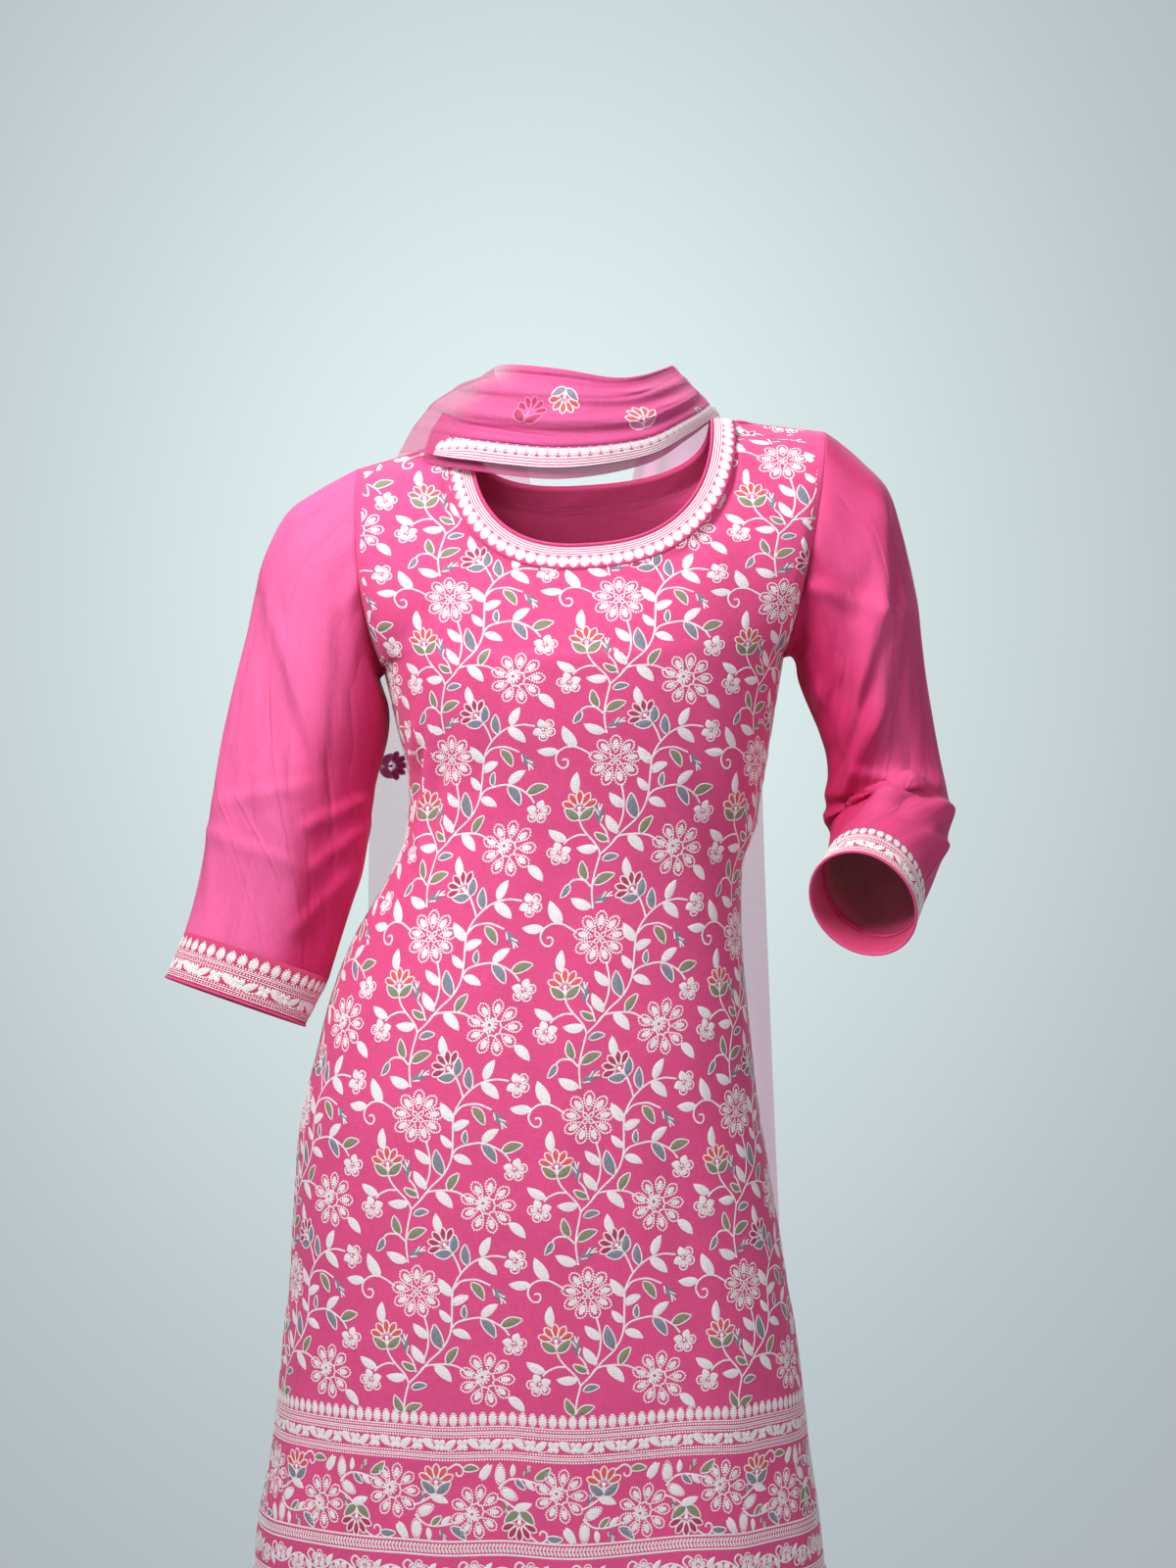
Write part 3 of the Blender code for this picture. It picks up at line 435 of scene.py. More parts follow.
def panel(face):
    """A kurta panel's points in rows from its hem up to the neck band's outer edge."""
    out = FACES[face]
    neck, shoulder = PANEL_COLUMNS[face]
    columns = neck + 2 * shoulder + 1
    fractions = np.linspace(0, 1, columns)
    angle = np.linspace(0, math.pi, CURVE_STEPS + 1)
    arc = np.stack([-squared(np.cos(angle)), squared(np.sin(angle))], axis=1)
    levels = [np.full(columns, z) for z in np.linspace(HEM_Z, BAND_Z, HEM_ROWS + 1)]
    levels += [np.full(columns, z) for z in np.linspace(BAND_Z, WAIST_Z, BAND_ROWS + 1)[1:]]
    under = UNDERARM_Z[0] + (UNDERARM_Z[1] - UNDERARM_Z[0]) * fractions
    levels += [WAIST_Z + (under - WAIST_Z) * k / WAIST_ROWS for k in range(1, WAIST_ROWS + 1)]
    rows = []
    for z in levels:
        left, right, depths = kurta_at(z)
        depth, half = depths[face], (right - left) / 2
        share = evenly(arc * [1.0, (depth / half).mean()], fractions)[:, 0]
        place = 2 * fractions - 1
        opening = np.clip((FOLDS_START_Z - z) / (FOLDS_START_Z - HEM_Z), 0, 1) ** FOLDS_OPEN
        fold = sum(deep * np.exp(-(((place - at) / wide) ** 2)) for at, wide, deep in HEM_FOLDS[face])
        y = depth * superellipse(share) + fold * opening * (1 - abs(place) ** FOLDS_STOP)
        rows.append(np.stack([(left + right) / 2 + half * share, out * y, z], axis=1))
    rows[-1][0], rows[-1][-1] = armhole("left", math.pi, face), armhole("right", math.pi, face)
    band = neckline(face, NECK_BAND, neck)
    seams = [np.linspace(SHOULDER_LINE[0, 0], band[0, 0], shoulder + 1)[:-1],
             np.linspace(band[-1, 0], SHOULDER_LINE[3, 0], shoulder + 1)[1:]]
    left_seam, right_seam = (np.stack([x, 0 * x, shoulder_z(x)], axis=1) for x in seams)
    top, base = np.concatenate([left_seam, band, right_seam]), rows[-1]

    def shares(row):
        middle, half = (row[-1, 0] + row[0, 0]) / 2, (row[-1, 0] - row[0, 0]) / 2
        return (row[:, 0] - middle) / half

    for s in np.linspace(0, 1, CHEST_ROWS + 1)[1:-1]:
        left, right = (armhole(side, math.pi * (1 - s), face) for side in ("left", "right"))
        share = shares(base) * (1 - s) + shares(top) * s
        x = (left[0] + right[0]) / 2 + (right[0] - left[0]) / 2 * share
        edge = np.where((share < 0)[:, None], left, right)
        ends = [np.array([hole[1][1] * (1 - s) + hole[0][1] * s]) for hole in ARMHOLE.values()]
        lift = edge[:, 2] - np.where(share < 0, *ends)
        z = base[:, 2] * (1 - s) + top[:, 2] * s + lift * abs(share) ** SEAM_LIFT
        full, reach = chest_depth(shoulder_z(x) - z, face), abs(edge[:, 1])
        rows.append(np.stack([x, out * (reach + (full - reach) * superellipse(share)), z], axis=1))
        rows[-1][0], rows[-1][-1] = left, right
    rows.append(top)
    grid = np.array(rows)
    grid[:-CHEST_ROWS, [0, -1], 1] = 0.0
    return grid


def heading(points, axis, closed=False):
    """Which way points run along an axis, which can close up into a ring."""
    if closed:
        return np.roll(points, -1, axis=axis) - np.roll(points, 1, axis=axis)
    return np.gradient(points, axis=axis)


def unit(vectors):
    return vectors / np.maximum(np.linalg.norm(vectors, axis=-1, keepdims=True), 1e-9)


def normals_of(grid, closed=False):
    """The normal at each point of a grid."""
    return unit(np.cross(heading(grid, 1, closed), heading(grid, 0)))


def cells(rows, columns, closed=False):
    """The four corners of every cell of a grid, as numbers of its points."""
    i, j = np.meshgrid(np.arange(rows - 1), np.arange(columns if closed else columns - 1), indexing="ij")
    n = (j + 1) % columns
    near, far = i * columns, (i + 1) * columns
    return np.stack([near + j, near + n, far + n, far + j], axis=-1).reshape(-1, 4)


def piece(name, points, faces, materials, carried=None):
    """A mesh on the suit's one body. Its points can carry vectors for its materials."""
    mesh = bpy.data.meshes.new(name)
    mesh.from_pydata(points, [], faces.tolist())
    for attribute, vectors in (carried or {}).items():
        mesh.attributes.new(attribute, "FLOAT_VECTOR", "POINT").data.foreach_set("vector", vectors.ravel())
    for material in materials:
        mesh.materials.append(material)
    mesh.shade_smooth()
    made = bpy.data.objects.new(name, mesh)
    bpy.context.scene.collection.objects.link(made)
    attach(made, "root")
    return made


def cloth(name, sheets, wall, finish, outwards, closed=False, layers_and_shade=0.0):
    """One piece of cloth from grids of points, as thick as its wall, with the weave's own coordinates.
    Layers_and_shade says how far, from 0 to 1, each point of a sheer one turns deeper: partly more cloth
    behind, partly painted shade."""
    points, faces, weave = [], [], []
    count = 0
    for grid in sheets:
        rows, columns = grid.shape[:2]
        points.append(grid.reshape(-1, 3))
        faces.append(cells(rows, columns, closed) + count)
        across = np.cumsum(np.linalg.norm(np.diff(grid, axis=1, prepend=grid[:, :1]), axis=2), axis=1)
        down = np.cumsum(np.linalg.norm(np.diff(grid, axis=0, prepend=grid[:1]), axis=2), axis=0)
        weave.append(np.stack([across, down, 0 * down + layers_and_shade], axis=2).reshape(-1, 3))
        count += rows * columns
    faces, weave = np.concatenate(faces)[:, ::outwards], {"weave": np.concatenate(weave)}
    made = piece(name, np.concatenate(points), faces, [finish.material], weave)
    bpy.context.view_layer.objects.active = made
    if len(sheets) > 1:
        weld = made.modifiers.new("join", "WELD")
        weld.merge_threshold = SEAM_GAP
        bpy.ops.object.modifier_apply(modifier=weld.name)
    thick = made.modifiers.new("wall", "SOLIDIFY")
    thick.thickness = wall
    thick.offset = -1.0
    bpy.ops.object.modifier_apply(modifier=thick.name)
    return made


def georgette(name, colour, slub, roughness=0.82, **constants):
    """Crinkled plain weave: fine uneven yarns both ways, a soft cloudiness, and a matt surface."""
    finish = Finish(name, colour, roughness, **constants)
    across, along, _ = finish.attribute("weave")
    warp, weft, cloud = (finish.streaks(across, along, noise) for noise in (WARP, WEFT, CLOUDS))
    yarn = (warp + weft) * 0.5
    brighter, paler = SLUB_LIGHTENS
    dark = tuple(c * (1 - SLUB_DARKENS * slub) for c in colour)
    light = tuple(min(c * (1 + brighter * slub) + paler * slub, 1.0) for c in colour)
    finish.mottle(yarn * YARN_SHARE + cloud * (1 - YARN_SHARE), dark, light)
    finish.bump(yarn + cloud * CLOUD_HEIGHT, YARN_HEIGHT, 0.5)
    return finish


def held_ends(count, free):
    """1 along a row, and down to 0 over this many places at each of its ends."""
    return np.clip(np.minimum(np.arange(count), np.arange(count)[::-1]) / free, 0, 1)


def press(grid, face):
    """Presses the panel's pulls and dents into its points, along their normals."""
    normals = normals_of(grid)
    total = np.zeros(grid.shape[:2])
    for x, z, direction, long, wide, deep in PULLS[face]:
        c, s = math.cos(math.radians(direction)), math.sin(math.radians(direction))
        right, up = grid[:, :, 0] - x, grid[:, :, 2] - z
        total += deep * np.exp(-(((right * c + up * s) / long) ** 2) - ((up * c - right * s) / wide) ** 2)
    total *= held_ends(grid.shape[1], PULLS_START_IN)[None, :]
    total[-PULLS_STOP_UNDER:] = 0.0
    outwards = FACES[face] * np.sign(normals[:, :, 1].mean())
    return grid - normals * outwards * total[:, :, None]


kurta_cloth = georgette("pink_georgette", GEORGETTE_PINK, 0.085, Sheen_Weight=0.10, Sheen_Roughness=0.5)
panels = {}
for face, out in FACES.items():
    neck, shoulder = PANEL_COLUMNS[face]
    down, across = PANEL_CUTS[face]
    body = press(finer(panel(face), down, across), face)
    outer = body[-1, shoulder * across : (shoulder + neck) * across + 1]
    inner = neckline(face, 0.0, neck * across)
    strip = np.array([outer + (inner - outer) * s for s in np.linspace(0, 1, STRIP_ROWS + 1)])
    made = cloth("kurta_" + face + "_cloth", [body, strip], KURTA_WALL, kurta_cloth, -out)
    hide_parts("kurta_" + face)
    panels[face] = (body, strip, made)


# The embroidery on the kurta.
# Vines in couched white cord climb the cloth in columns, with leaves, fans and nine-petalled flowers in
# satin and bead stitches. Every stitch stands up from the cloth, and is first set out flat, in millimetres.
THREADS = {  # colour of the thread, and of the gaps between its stitches
    "white": ((0.98, 0.95, 0.955), (0.80, 0.63, 0.69)),
    "sage": ((0.17, 0.20, 0.095), (0.40, 0.36, 0.26)),
    "slate": ((0.115, 0.145, 0.205), (0.42, 0.42, 0.50)),
    "coral": ((0.82, 0.050, 0.070), (0.74, 0.17, 0.19)),
    "magenta": ((0.42, 0.008, 0.075), (0.56, 0.06, 0.18)),
    "dark": ((0.08, 0.035, 0.06), (0.20, 0.08, 0.12)),
    "rose": ((0.86, 0.27, 0.50), (0.70, 0.10, 0.30)),
}
THREAD_NUMBER = {name: number for number, name in enumerate(THREADS)}
CORD = 1.5
CORD_HEIGHT = 0.42
CORD_TWIST = 1.7
STITCH = 2.0
BEAD = 1.80
BEAD_PITCH = 2.05
THIN_CORD = 1.1
OUTLINE_STEP = 1.9
SPRAY_STITCH = 1.3
LEAF_WIDTH = 0.43
STITCH_GAP = (-1.0, -0.35)  # the part of a stitch's wave that is the gap beside it
STITCH_WORN = (0.42, 0.62)
GAPS_SHARE = 0.7
STITCH_RELIEF = 0.00025
CORD_LEAN = (0.9, -0.9)
LEAF_LEAN = (1.1, 1.1)
LEAF_HEIGHT = 0.60
LEAF_BEND = 0.06
LEAF_SHAPE = (0.85, 0.75)  # how far its widest part lies towards the base, and how blunt its ends are
LEAF_LEAST = 0.12
LEAF_INSET = 0.06
LEAF_FILL = 0.92
PETAL_SHAPE = (1.5, 0.6)
SPRAY = ((-2, 0.60), (-1, 0.74), (0, 0.79), (1, 0.74), (2, 0.60))  # each stitch's place and its reach
SPRAY_START = 0.24
SPRAY_OPENS = (0.05, 0.128)
FLECKS = (0.9, 3.0, 0.0, 1.0)
EDGE_HEIGHT = 0.05
BEAD_SIDES = 5
BEAD_FOOT = 0.1
BEAD_SHADE = 0.25
BEAD_TOP = 0.36
CURVE_CUTS = 12


def thread(name, colour, gap):
    """A smooth twisted thread. The mesh counts its stitches, which show as stripes with darker gaps."""
    finish = Finish(name + "_thread", colour, 0.62, Sheen_Weight=0.06, Sheen_Roughness=0.4)
    along, fleck, _ = finish.attribute("stitch")
    wave = finish.node("Math", {"operation": "SINE"}, {0: along * (2 * math.pi)})
    flecks = finish.streaks(along, fleck, FLECKS)
    depth, worn = finish.between(wave, *STITCH_GAP), finish.between(flecks, *STITCH_WORN)
    finish.surface("Base Color", finish.mix(depth * GAPS_SHARE + worn * (1 - GAPS_SHARE), gap, colour))
    finish.bump(wave, STITCH_RELIEF, 0.6)
    return finish.material


thread_materials = [thread(name, *colours) for name, colours in THREADS.items()]


def along_curve(path, step, closed=False):
    """A smooth line through the points of a path, with a point at about every step."""
    path = np.asarray(path, float)
    legs = len(path) if closed else len(path) - 1
    fine = through(path, np.linspace(0, legs, legs * CURVE_CUTS + 1), closed)
    count = max(int(round(length_of(fine) / step)), 2)
    return evenly(fine, np.linspace(0, 1, count + 1))


def turned(points, x=0.0, y=0.0, turn=0.0):
    """Flat points turned by so many degrees, then moved."""
    c, s = math.cos(math.radians(turn)), math.sin(math.radians(turn))
    right, up = np.asarray(points, float).T
    return np.stack([x + right * c - up * s, y + right * s + up * c], axis=1)


def swelling(t, early, blunt):
    """How wide a leaf or petal is along its length, from 0 at its ends to 1."""
    return np.sin(math.pi * t**early) ** blunt


def outlined(x, half, middle=0.0):
    """A closed outline, this wide to each side of its middle."""
    upper, lower = (np.stack([x, middle + out * half], axis=1) for out in (1, -1))
    return np.concatenate([upper, lower[-2:0:-1]])


class Work:
    """Needlework set out flat: points as x, y and height in millimetres, and triangles in their threads."""

    def __init__(self):
        self.points = np.zeros((0, 3))
        self.stitches = np.zeros((0, 2))
        self.corners = np.zeros((0, 3), int)
        self.threads = np.zeros(0, int)
        self.waiting = []

    def add(self, points, stitches, corners, threads):
        self.waiting.append((points, stitches, corners, threads))

    def done(self):
        """Everything that was added, joined up."""
        if self.waiting:
            parts = [(self.points, self.stitches, self.corners, self.threads), *self.waiting]
            starts = np.cumsum([0] + [len(part[0]) for part in parts[:-1]])
            self.points, self.stitches = (np.concatenate([part[k] for part in parts]) for k in (0, 1))
            self.corners = np.concatenate([part[2] + start for part, start in zip(parts, starts)])
            self.threads = np.concatenate([part[3] for part in parts])
            self.waiting = []
        return self

    def work(self, motif, x=0.0, y=0.0, turn=0.0, size=1.0, swap=(), mirror=False):
        """Works a motif in here, turned, mirrored left to right, or with some of its threads swapped."""
        motif = motif.done()
        flip = -1 if mirror else 1
        flat = turned(motif.points[:, :2] * [flip * size, size], x, y, turn)
        threads = motif.threads.copy()
        for old, new in swap:
            threads[motif.threads == THREAD_NUMBER[old]] = THREAD_NUMBER[new]
        points = np.concatenate([flat, motif.points[:, 2:] * size], axis=1)
        self.add(points, motif.stitches, motif.corners[:, ::flip], threads)
        return self

    def band(self, spine, half, colour, height, stitch, lean, closed=False):
        """A raised band of stitches along a spine, this wide to each side and rounded over its middle."""
        step = unit(heading(spine, 0, closed))
        side = np.stack([-step[:, 1], step[:, 0]], axis=1)
        half = np.broadcast_to(np.asarray(half, float), len(spine))[:, None]
        reach = reach_along(spine)
        crown, edge = height * np.sqrt(half[:, 0] / half.max()), np.full(len(spine), EDGE_HEIGHT)
        points, stitches = [], []
        for out, heights, slant in ((1, edge, lean[0]), (0, crown, 0.0), (-1, edge, lean[1])):
            points.append(np.column_stack([spine + side * half * out, heights]))
            stitches.append(np.column_stack([(reach + slant * half[:, 0]) / stitch, reach * 0 + out]))
        count = len(spine)
        i = np.arange(count if closed else count - 1)
        n = (i + 1) % count
        corners = []
        for low, high in ((1, 0), (2, 1)):
            corners.append(np.stack([i + low * count, n + low * count, n + high * count], axis=1))
            corners.append(np.stack([i + low * count, n + high * count, i + high * count], axis=1))
        corners = np.concatenate(corners)
        threads = np.full(len(corners), THREAD_NUMBER[colour])
        self.add(np.concatenate(points), np.concatenate(stitches), corners, threads)
        return self

    def cord(self, path, width=CORD, step=2.0, closed=False, colour="white"):
        """A twisted cord couched along a path."""
        line = along_curve(path, step, closed)
        if closed:
            line = line[:-1]
        return self.band(line, width / 2, colour, CORD_HEIGHT, CORD_TWIST, CORD_LEAN, closed)

    def bead(self, x, y, across=BEAD, colour="white"):
        i = np.arange(BEAD_SIDES)
        angle = i * 2 * math.pi / BEAD_SIDES
        rim = [x + across / 2 * np.cos(angle), y + across / 2 * np.sin(angle), 0 * angle + BEAD_FOOT]
        points = np.concatenate([np.stack(rim, axis=1), [[x, y, across * BEAD_TOP]]])
        corners = np.stack([i, (i + 1) % BEAD_SIDES, 0 * i + BEAD_SIDES], axis=1)
        threads = np.full(BEAD_SIDES, THREAD_NUMBER[colour])
        self.add(points, np.full((len(points), 2), BEAD_SHADE), corners, threads)
        return self

    def beads(self, path, pitch=BEAD_PITCH, across=BEAD, closed=False):
        """A row of beads along a path."""
        line = along_curve(path, pitch, closed)
        for x, y in line[:-1] if closed else line:
            self.bead(x, y, across)
        return self

    def leaf(self, x0, y0, x1, y1, width=LEAF_WIDTH, bend=LEAF_BEND, colour="white"):
        """A leaf from its base to its tip: slanted satin stitches that meet along the middle."""
        length = math.hypot(x1 - x0, y1 - y0)
        t = np.linspace(0, 1, 8)
        spine = np.stack([t * length, bend * length * np.sin(math.pi * t)], axis=1)
        half = length * width / 2 * swelling(t, *LEAF_SHAPE) + LEAF_LEAST
        spine = turned(spine, x0, y0, math.degrees(math.atan2(y1 - y0, x1 - x0)))
        return self.band(spine, half, colour, LEAF_HEIGHT, STITCH, LEAF_LEAN)

    def edged_leaf(self, x0, y0, x1, y1, colour, width=LEAF_WIDTH, bend=LEAF_BEND):
        """A leaf in a coloured thread with a thin white cord round it."""
        length = math.hypot(x1 - x0, y1 - y0)
        t = np.linspace(0, 1, 7)
        half = length * width / 2 * swelling(t, *LEAF_SHAPE)
        outline = outlined(t * length, half, bend * length * np.sin(math.pi * t))
        outline = turned(outline, x0, y0, math.degrees(math.atan2(y1 - y0, x1 - x0)))
        ends = (LEAF_INSET, 1 - LEAF_INSET)
        (x2, x3), (y2, y3) = ([a + (b - a) * end for end in ends] for a, b in ((x0, x1), (y0, y1)))
        self.leaf(x2, y2, x3, y3, width * LEAF_FILL, bend, colour)
        return self.cord(outline, THIN_CORD, OUTLINE_STEP, True)


def petal_outline(inner, outer, width):
    """A rounded petal along +x, from the inner to the outer radius."""
    t = np.linspace(0, 1, 9)
    return outlined(inner + (outer - inner) * t, width / 2 * swelling(t, *PETAL_SHAPE))


def beaded_petal(inner, outer, width):
    """A petal edged with beads, with a spray of five thick stitches inside."""
    petal = Work()
    petal.beads(petal_outline(inner, outer, width), BEAD_PITCH, BEAD, True)
    length = outer - inner
    for k, reach in SPRAY:
        near, far = (width * opens * k for opens in SPRAY_OPENS)
        stitch = [[inner + length * SPRAY_START, near], [inner + length * reach, far]]
        petal.cord(stitch, SPRAY_STITCH, 2.6)
    return petal


def flower(first, petals, petal):
    """Petals all round a centre, the first one at this many degrees."""
    made = Work()
    for k in range(petals):
        made.work(petal, 0.0, 0.0, first + 360 / petals * k)
    return made


# The motifs' own charts, in millimetres and degrees. A petal has its inner and outer radius and its width.
open_flower = flower(10, 9, beaded_petal(6.4, 20.8, 8.4))
for k in range(4):
    loop = turned(petal_outline(0.8, 5.4, 3.4), 0.0, 0.0, 45 + 90 * k)
    open_flower.cord(loop, 1.2, 1.6, True)

star_flower = flower(2, 9, beaded_petal(8.0, 21.6, 8.0))
round_it = np.radians(np.arange(0, 360, 10))
reach = 6.3 + 0.7 * np.cos(9 * round_it)
star_flower.cord(np.stack([reach * np.cos(round_it) - 0.5, reach * np.sin(round_it)], axis=1), closed=True)
for k in range(12):
    tip = turned([[1.2, 0.0], [6.2, 0.0]], -3.6, 2.0, 30 * k + 8)
    star_flower.cord(tip, 1.6, 2.5)

small_flower = Work()
for turn in (-65, 0, 65):
    small_flower.cord(turned(petal_outline(2.2, 10.0, 6.8), 7.0, 0.0, turn), 1.2, 1.7, True)
    for k in (-1, 0, 1):
        small_flower.cord(turned([[3.4, 0.5 * k], [7.6, 1.5 * k]], 7.0, 0.0, turn), 1.1, 2.2)
for turn in (-130, 130):
    base, tip = turned([[1.2, 0.0], [9.0, 0.0]], 7.0, 0.0, turn)
    small_flower.leaf(*base, *tip, 0.82, 0.0)
small_flower.bead(7.0, 0.0, 2.2)

fan = Work()
for turn in (-66, -33, 0, 33, 66):
    outline = turned(petal_outline(3.0, 14.6, 5.2), 0.0, 8.0, 90 + turn)
    fan.cord(outline, THIN_CORD, OUTLINE_STEP, True)
    base, tip = turned([[4.6, 0.0], [14.0, 0.0]], 0.0, 8.0, 90 + turn)
    fan.leaf(*tip, *base, 0.44, 0.0, "coral")
for out in (-1, 1):
    fan.edged_leaf(0.0, 0.0, 11.5 * out, 9.2, "sage", 0.50, -0.04 * out)
fan.leaf(0.0, 1.5, 0.0, 9.0, 0.34, 0.0)
fan.bead(0.0, 8.6, 3.6)
fan.bead(0.0, 8.6, 1.6, "dark")

feather = Work()
feather.cord([[0.0, 0.0], [15.0, 0.0]], 0.9, 3.0, colour="slate")
for k, x in enumerate((1.5, 4.5, 7.5, 10.5)):
    for lean in (-1, 1):
        colour = "slate" if (k + (lean > 0)) % 3 else "white"
        feather.cord([[x, 0.0], [x + 5.4, lean * 2.8]], 1.3, 2.8, colour=colour)
feather.cord([[11.5, 0.0], [17.0, 0.0]], 1.2, 2.8)

# The vine's own chart: x to the right and y up from the fork of its stem.
VINE_STEMS = [
    [(0, 0), (8, 8), (16, 18), (27, 29), (33, 42), (34, 58), (34, 66), (35, 77), (41, 89), (52, 99),
     (65, 103), (76, 102)],
    [(0, 0), (-2, 5), (-6, 10), (-12, 16), (-16.5, 22), (-18.5, 27)],
    [(-12, 15), (-18, 15), (-25, 12), (-29, 8)],
    [(0, 0), (-3, -15), (-4, -27), (-2, -42)],
    [(-5, -25), (-11, -20), (-19, -20), (-23, -24)],
    [(8, 8), (13, 14), (25, 16), (37, 15), (46, 10)],
    [(6, 9), (3, 18), (-2, 24)],
    [(12, 55), (15, 42), (15, 29), (11, 16)],
    [(33, 43), (37, 49), (44, 52), (56, 54), (66, 51), (74, 46), (79, 40)],
    [(35, 76), (40, 82), (47, 84), (54, 84), (64, 80)],
    [(41, 89), (38, 97), (34, 105)],
    [(-13, 77), (-17, 80), (-25, 84), (-33, 84), (-39, 80), (-41, 74), (-38, 68), (-33, 67), (-31, 71),
     (-33, 74), (-36, 73)],
]
VINE_WHITE_LEAVES = [
    (-27, 11, -42, 19), (-2, 5, -19, 5), (-23, 47, -23.5, 64), (-3, -41, -20, -34), (20, 15, 34, 2),
    (78, -9, 91, -21), (13, 17, 2, 31), (16, 37, 3, 48), (57, 54, 70, 65), (34, 43, 49, 37),
    (34, 50, 24, 60), (35, 71, 23, 85), (25, 120, 20.5, 136), (54, 100, 69, 88), (57, 102, 64, 118),
    (-39, 81, -56, 81), (-25, 84, -36, 102),
]
VINE_EDGED_LEAVES = {
    "sage": [(-3, -23, 13, -15), (-9, -20, -14, -5), (30, 16, 39, 30), (6, 11, -6, 17), (72, 47, 89, 53),
             (49, 82, 59, 68)],
    "slate": [(-22, -23, -28, -34), (2, -4, 15, -1), (26, 28, 20, 48), (44, 53, 44, 64), (57, 53, 68, 38),
              (46, 95, 44, 112)],
    "white": [(34, 64, 47, 71)],
}
VINE_FEATHERS = [(-2, -38, 33), (-2, 23, 99), (65, 79, -50)]
VINE_SMALL_FLOWERS = [(76, 102, -22), (79, 40, -62), (-29, 8, -112)]
VINE_OPEN_FLOWER = (5.5, 73.5)
VINE_STAR_FLOWER = (61.5, 4.5)
VINE_CORAL_FAN = (-18.5, 27, 4)
VINE_MAGENTA_FAN = (34, 105, 45)
MAGENTA_FAN = [("coral", "magenta"), ("sage", "slate")]  # the threads swapped in the coral fan

# The lowest repeat ends a little under its fork, in two leaves of its own.
VINE_ENDS = -16
VINE_FOOT_SCALE = 0.95
VINE_FOOT_STEM = [(0, 0), (-3, -13), (-4, -23)]
VINE_FOOT_LEAVES = [(-4, -24, -11.5, -10), (-3.5, -24, 11, -16.5)]


def vine_work(lowest):
    """The vine's repeat. The lowest one leaves out what starts under its end."""
    made = Work()
    ends = VINE_ENDS if lowest else -math.inf
    for path in VINE_STEMS:
        if min(y for x, y in path) > ends:
            made.cord(path)
    for x0, y0, x1, y1 in VINE_WHITE_LEAVES:
        if y0 > ends:
            made.leaf(x0, y0, x1, y1)
    for colour, leaves in VINE_EDGED_LEAVES.items():
        for x0, y0, x1, y1 in leaves:
            if y0 > ends:
                made.edged_leaf(x0, y0, x1, y1, colour)
    for x, y, turn in VINE_FEATHERS:
        if y > ends:
            made.work(feather, x, y, turn)
    for x, y, turn in VINE_SMALL_FLOWERS:
        made.work(small_flower, x, y, turn)
    made.work(open_flower, *VINE_OPEN_FLOWER)
    made.work(star_flower, *VINE_STAR_FLOWER)
    made.work(fan, *VINE_CORAL_FAN)
    made.work(fan, *VINE_MAGENTA_FAN, swap=MAGENTA_FAN)
    if lowest:
        made.cord(VINE_FOOT_STEM)
        for base_to_tip in VINE_FOOT_LEAVES:
            made.edged_leaf(*base_to_tip, "sage")
    return made


vine, vine_foot = vine_work(False), vine_work(True)


class Ground:
    """A cloth's outer surface, with its points' places across and up it in millimetres, to lay work on."""

    def __init__(self, grid, across, up, closed=False):
        self.grid, self.across, self.up, self.closed = grid, np.asarray(across), np.asarray(up), closed
        self.normals = normals_of(grid, closed)

    def lay(self, flat):
        """Flat points and heights as places on the surface, or not a number where the cloth ends."""
        columns = len(self.across)
        step = self.across[1] - self.across[0]
        place = (flat[:, 0] - self.across[0]) / step
        if self.closed:
            place = place % columns
        row = np.interp(flat[:, 1], self.up, np.arange(len(self.up)), left=np.nan, right=np.nan)
        outside = np.isnan(row) | (place < 0) | (place > columns - (0 if self.closed else 1))
        place, row = np.where(outside, 0, place), np.where(outside, 0, row)
        i = np.minimum(row.astype(int), len(self.up) - 2)
        j = np.minimum(place.astype(int), columns - (1 if self.closed else 2))
        n = (j + 1) % columns
        down, right = (row - i)[:, None], (place - j)[:, None]
        found = []
        for table in (self.grid, self.normals):
            near = table[i, j] * (1 - right) + table[i, n] * right
            far = table[i + 1, j] * (1 - right) + table[i + 1, n] * right
            found.append(near * (1 - down) + far * down)
        placed = found[0] + found[1] * flat[:, 2:] / 1000
        placed[outside] = np.nan
        return placed


def embroider(name, work, ground):
    """Lays flat work on its ground as one piece, and leaves out what would pass the cloth's edges."""
    work = work.done()
    placed = ground.lay(work.points)
    kept = ~np.isnan(placed[work.corners]).any(axis=(1, 2))
    used, corners = np.unique(work.corners[kept], return_inverse=True)
    stitch = np.column_stack([work.stitches[used], np.zeros(len(used))])
    made = piece(name, placed[used], corners.reshape(-1, 3), thread_materials, {"stitch": stitch})
    made.data.polygons.foreach_set("material_index", work.threads[kept])


GRAIN_LINE = np.array([  # height, and x of the middle of the vines
    [-0.925, -0.003], [-0.686, -0.0024], [-0.551, -0.0024], [-0.412, 0.0068], [-0.273, 0.019],
    [-0.147, 0.022], [0.010, 0.022],
])
ROW_STEP = 0.0025
SHOULDERS_START_Z = -0.060
SHOULDER_ROW_STEP = 0.0008
HEM_CLEAR = 0.0002
CHEST_LEANS_Z = -0.080
CHEST_LEAN = 0.14
LEAN_STARTS = 0.004
COLUMN_STEP = 2.0
WIDEST_HALF = 170
RAYS = 361
RAY_LENGTH = 0.6
FEWEST_HITS = 4
FLOWER_ROWS_Z = (-0.685, -0.551, -0.412, -0.273, -0.147, -0.035, 0.077)
VINE_RISE = 138.0
VINE_ACROSS = 134.0
VINE_COLUMNS = range(-3, 4)
BORDER_TOP = 147.0


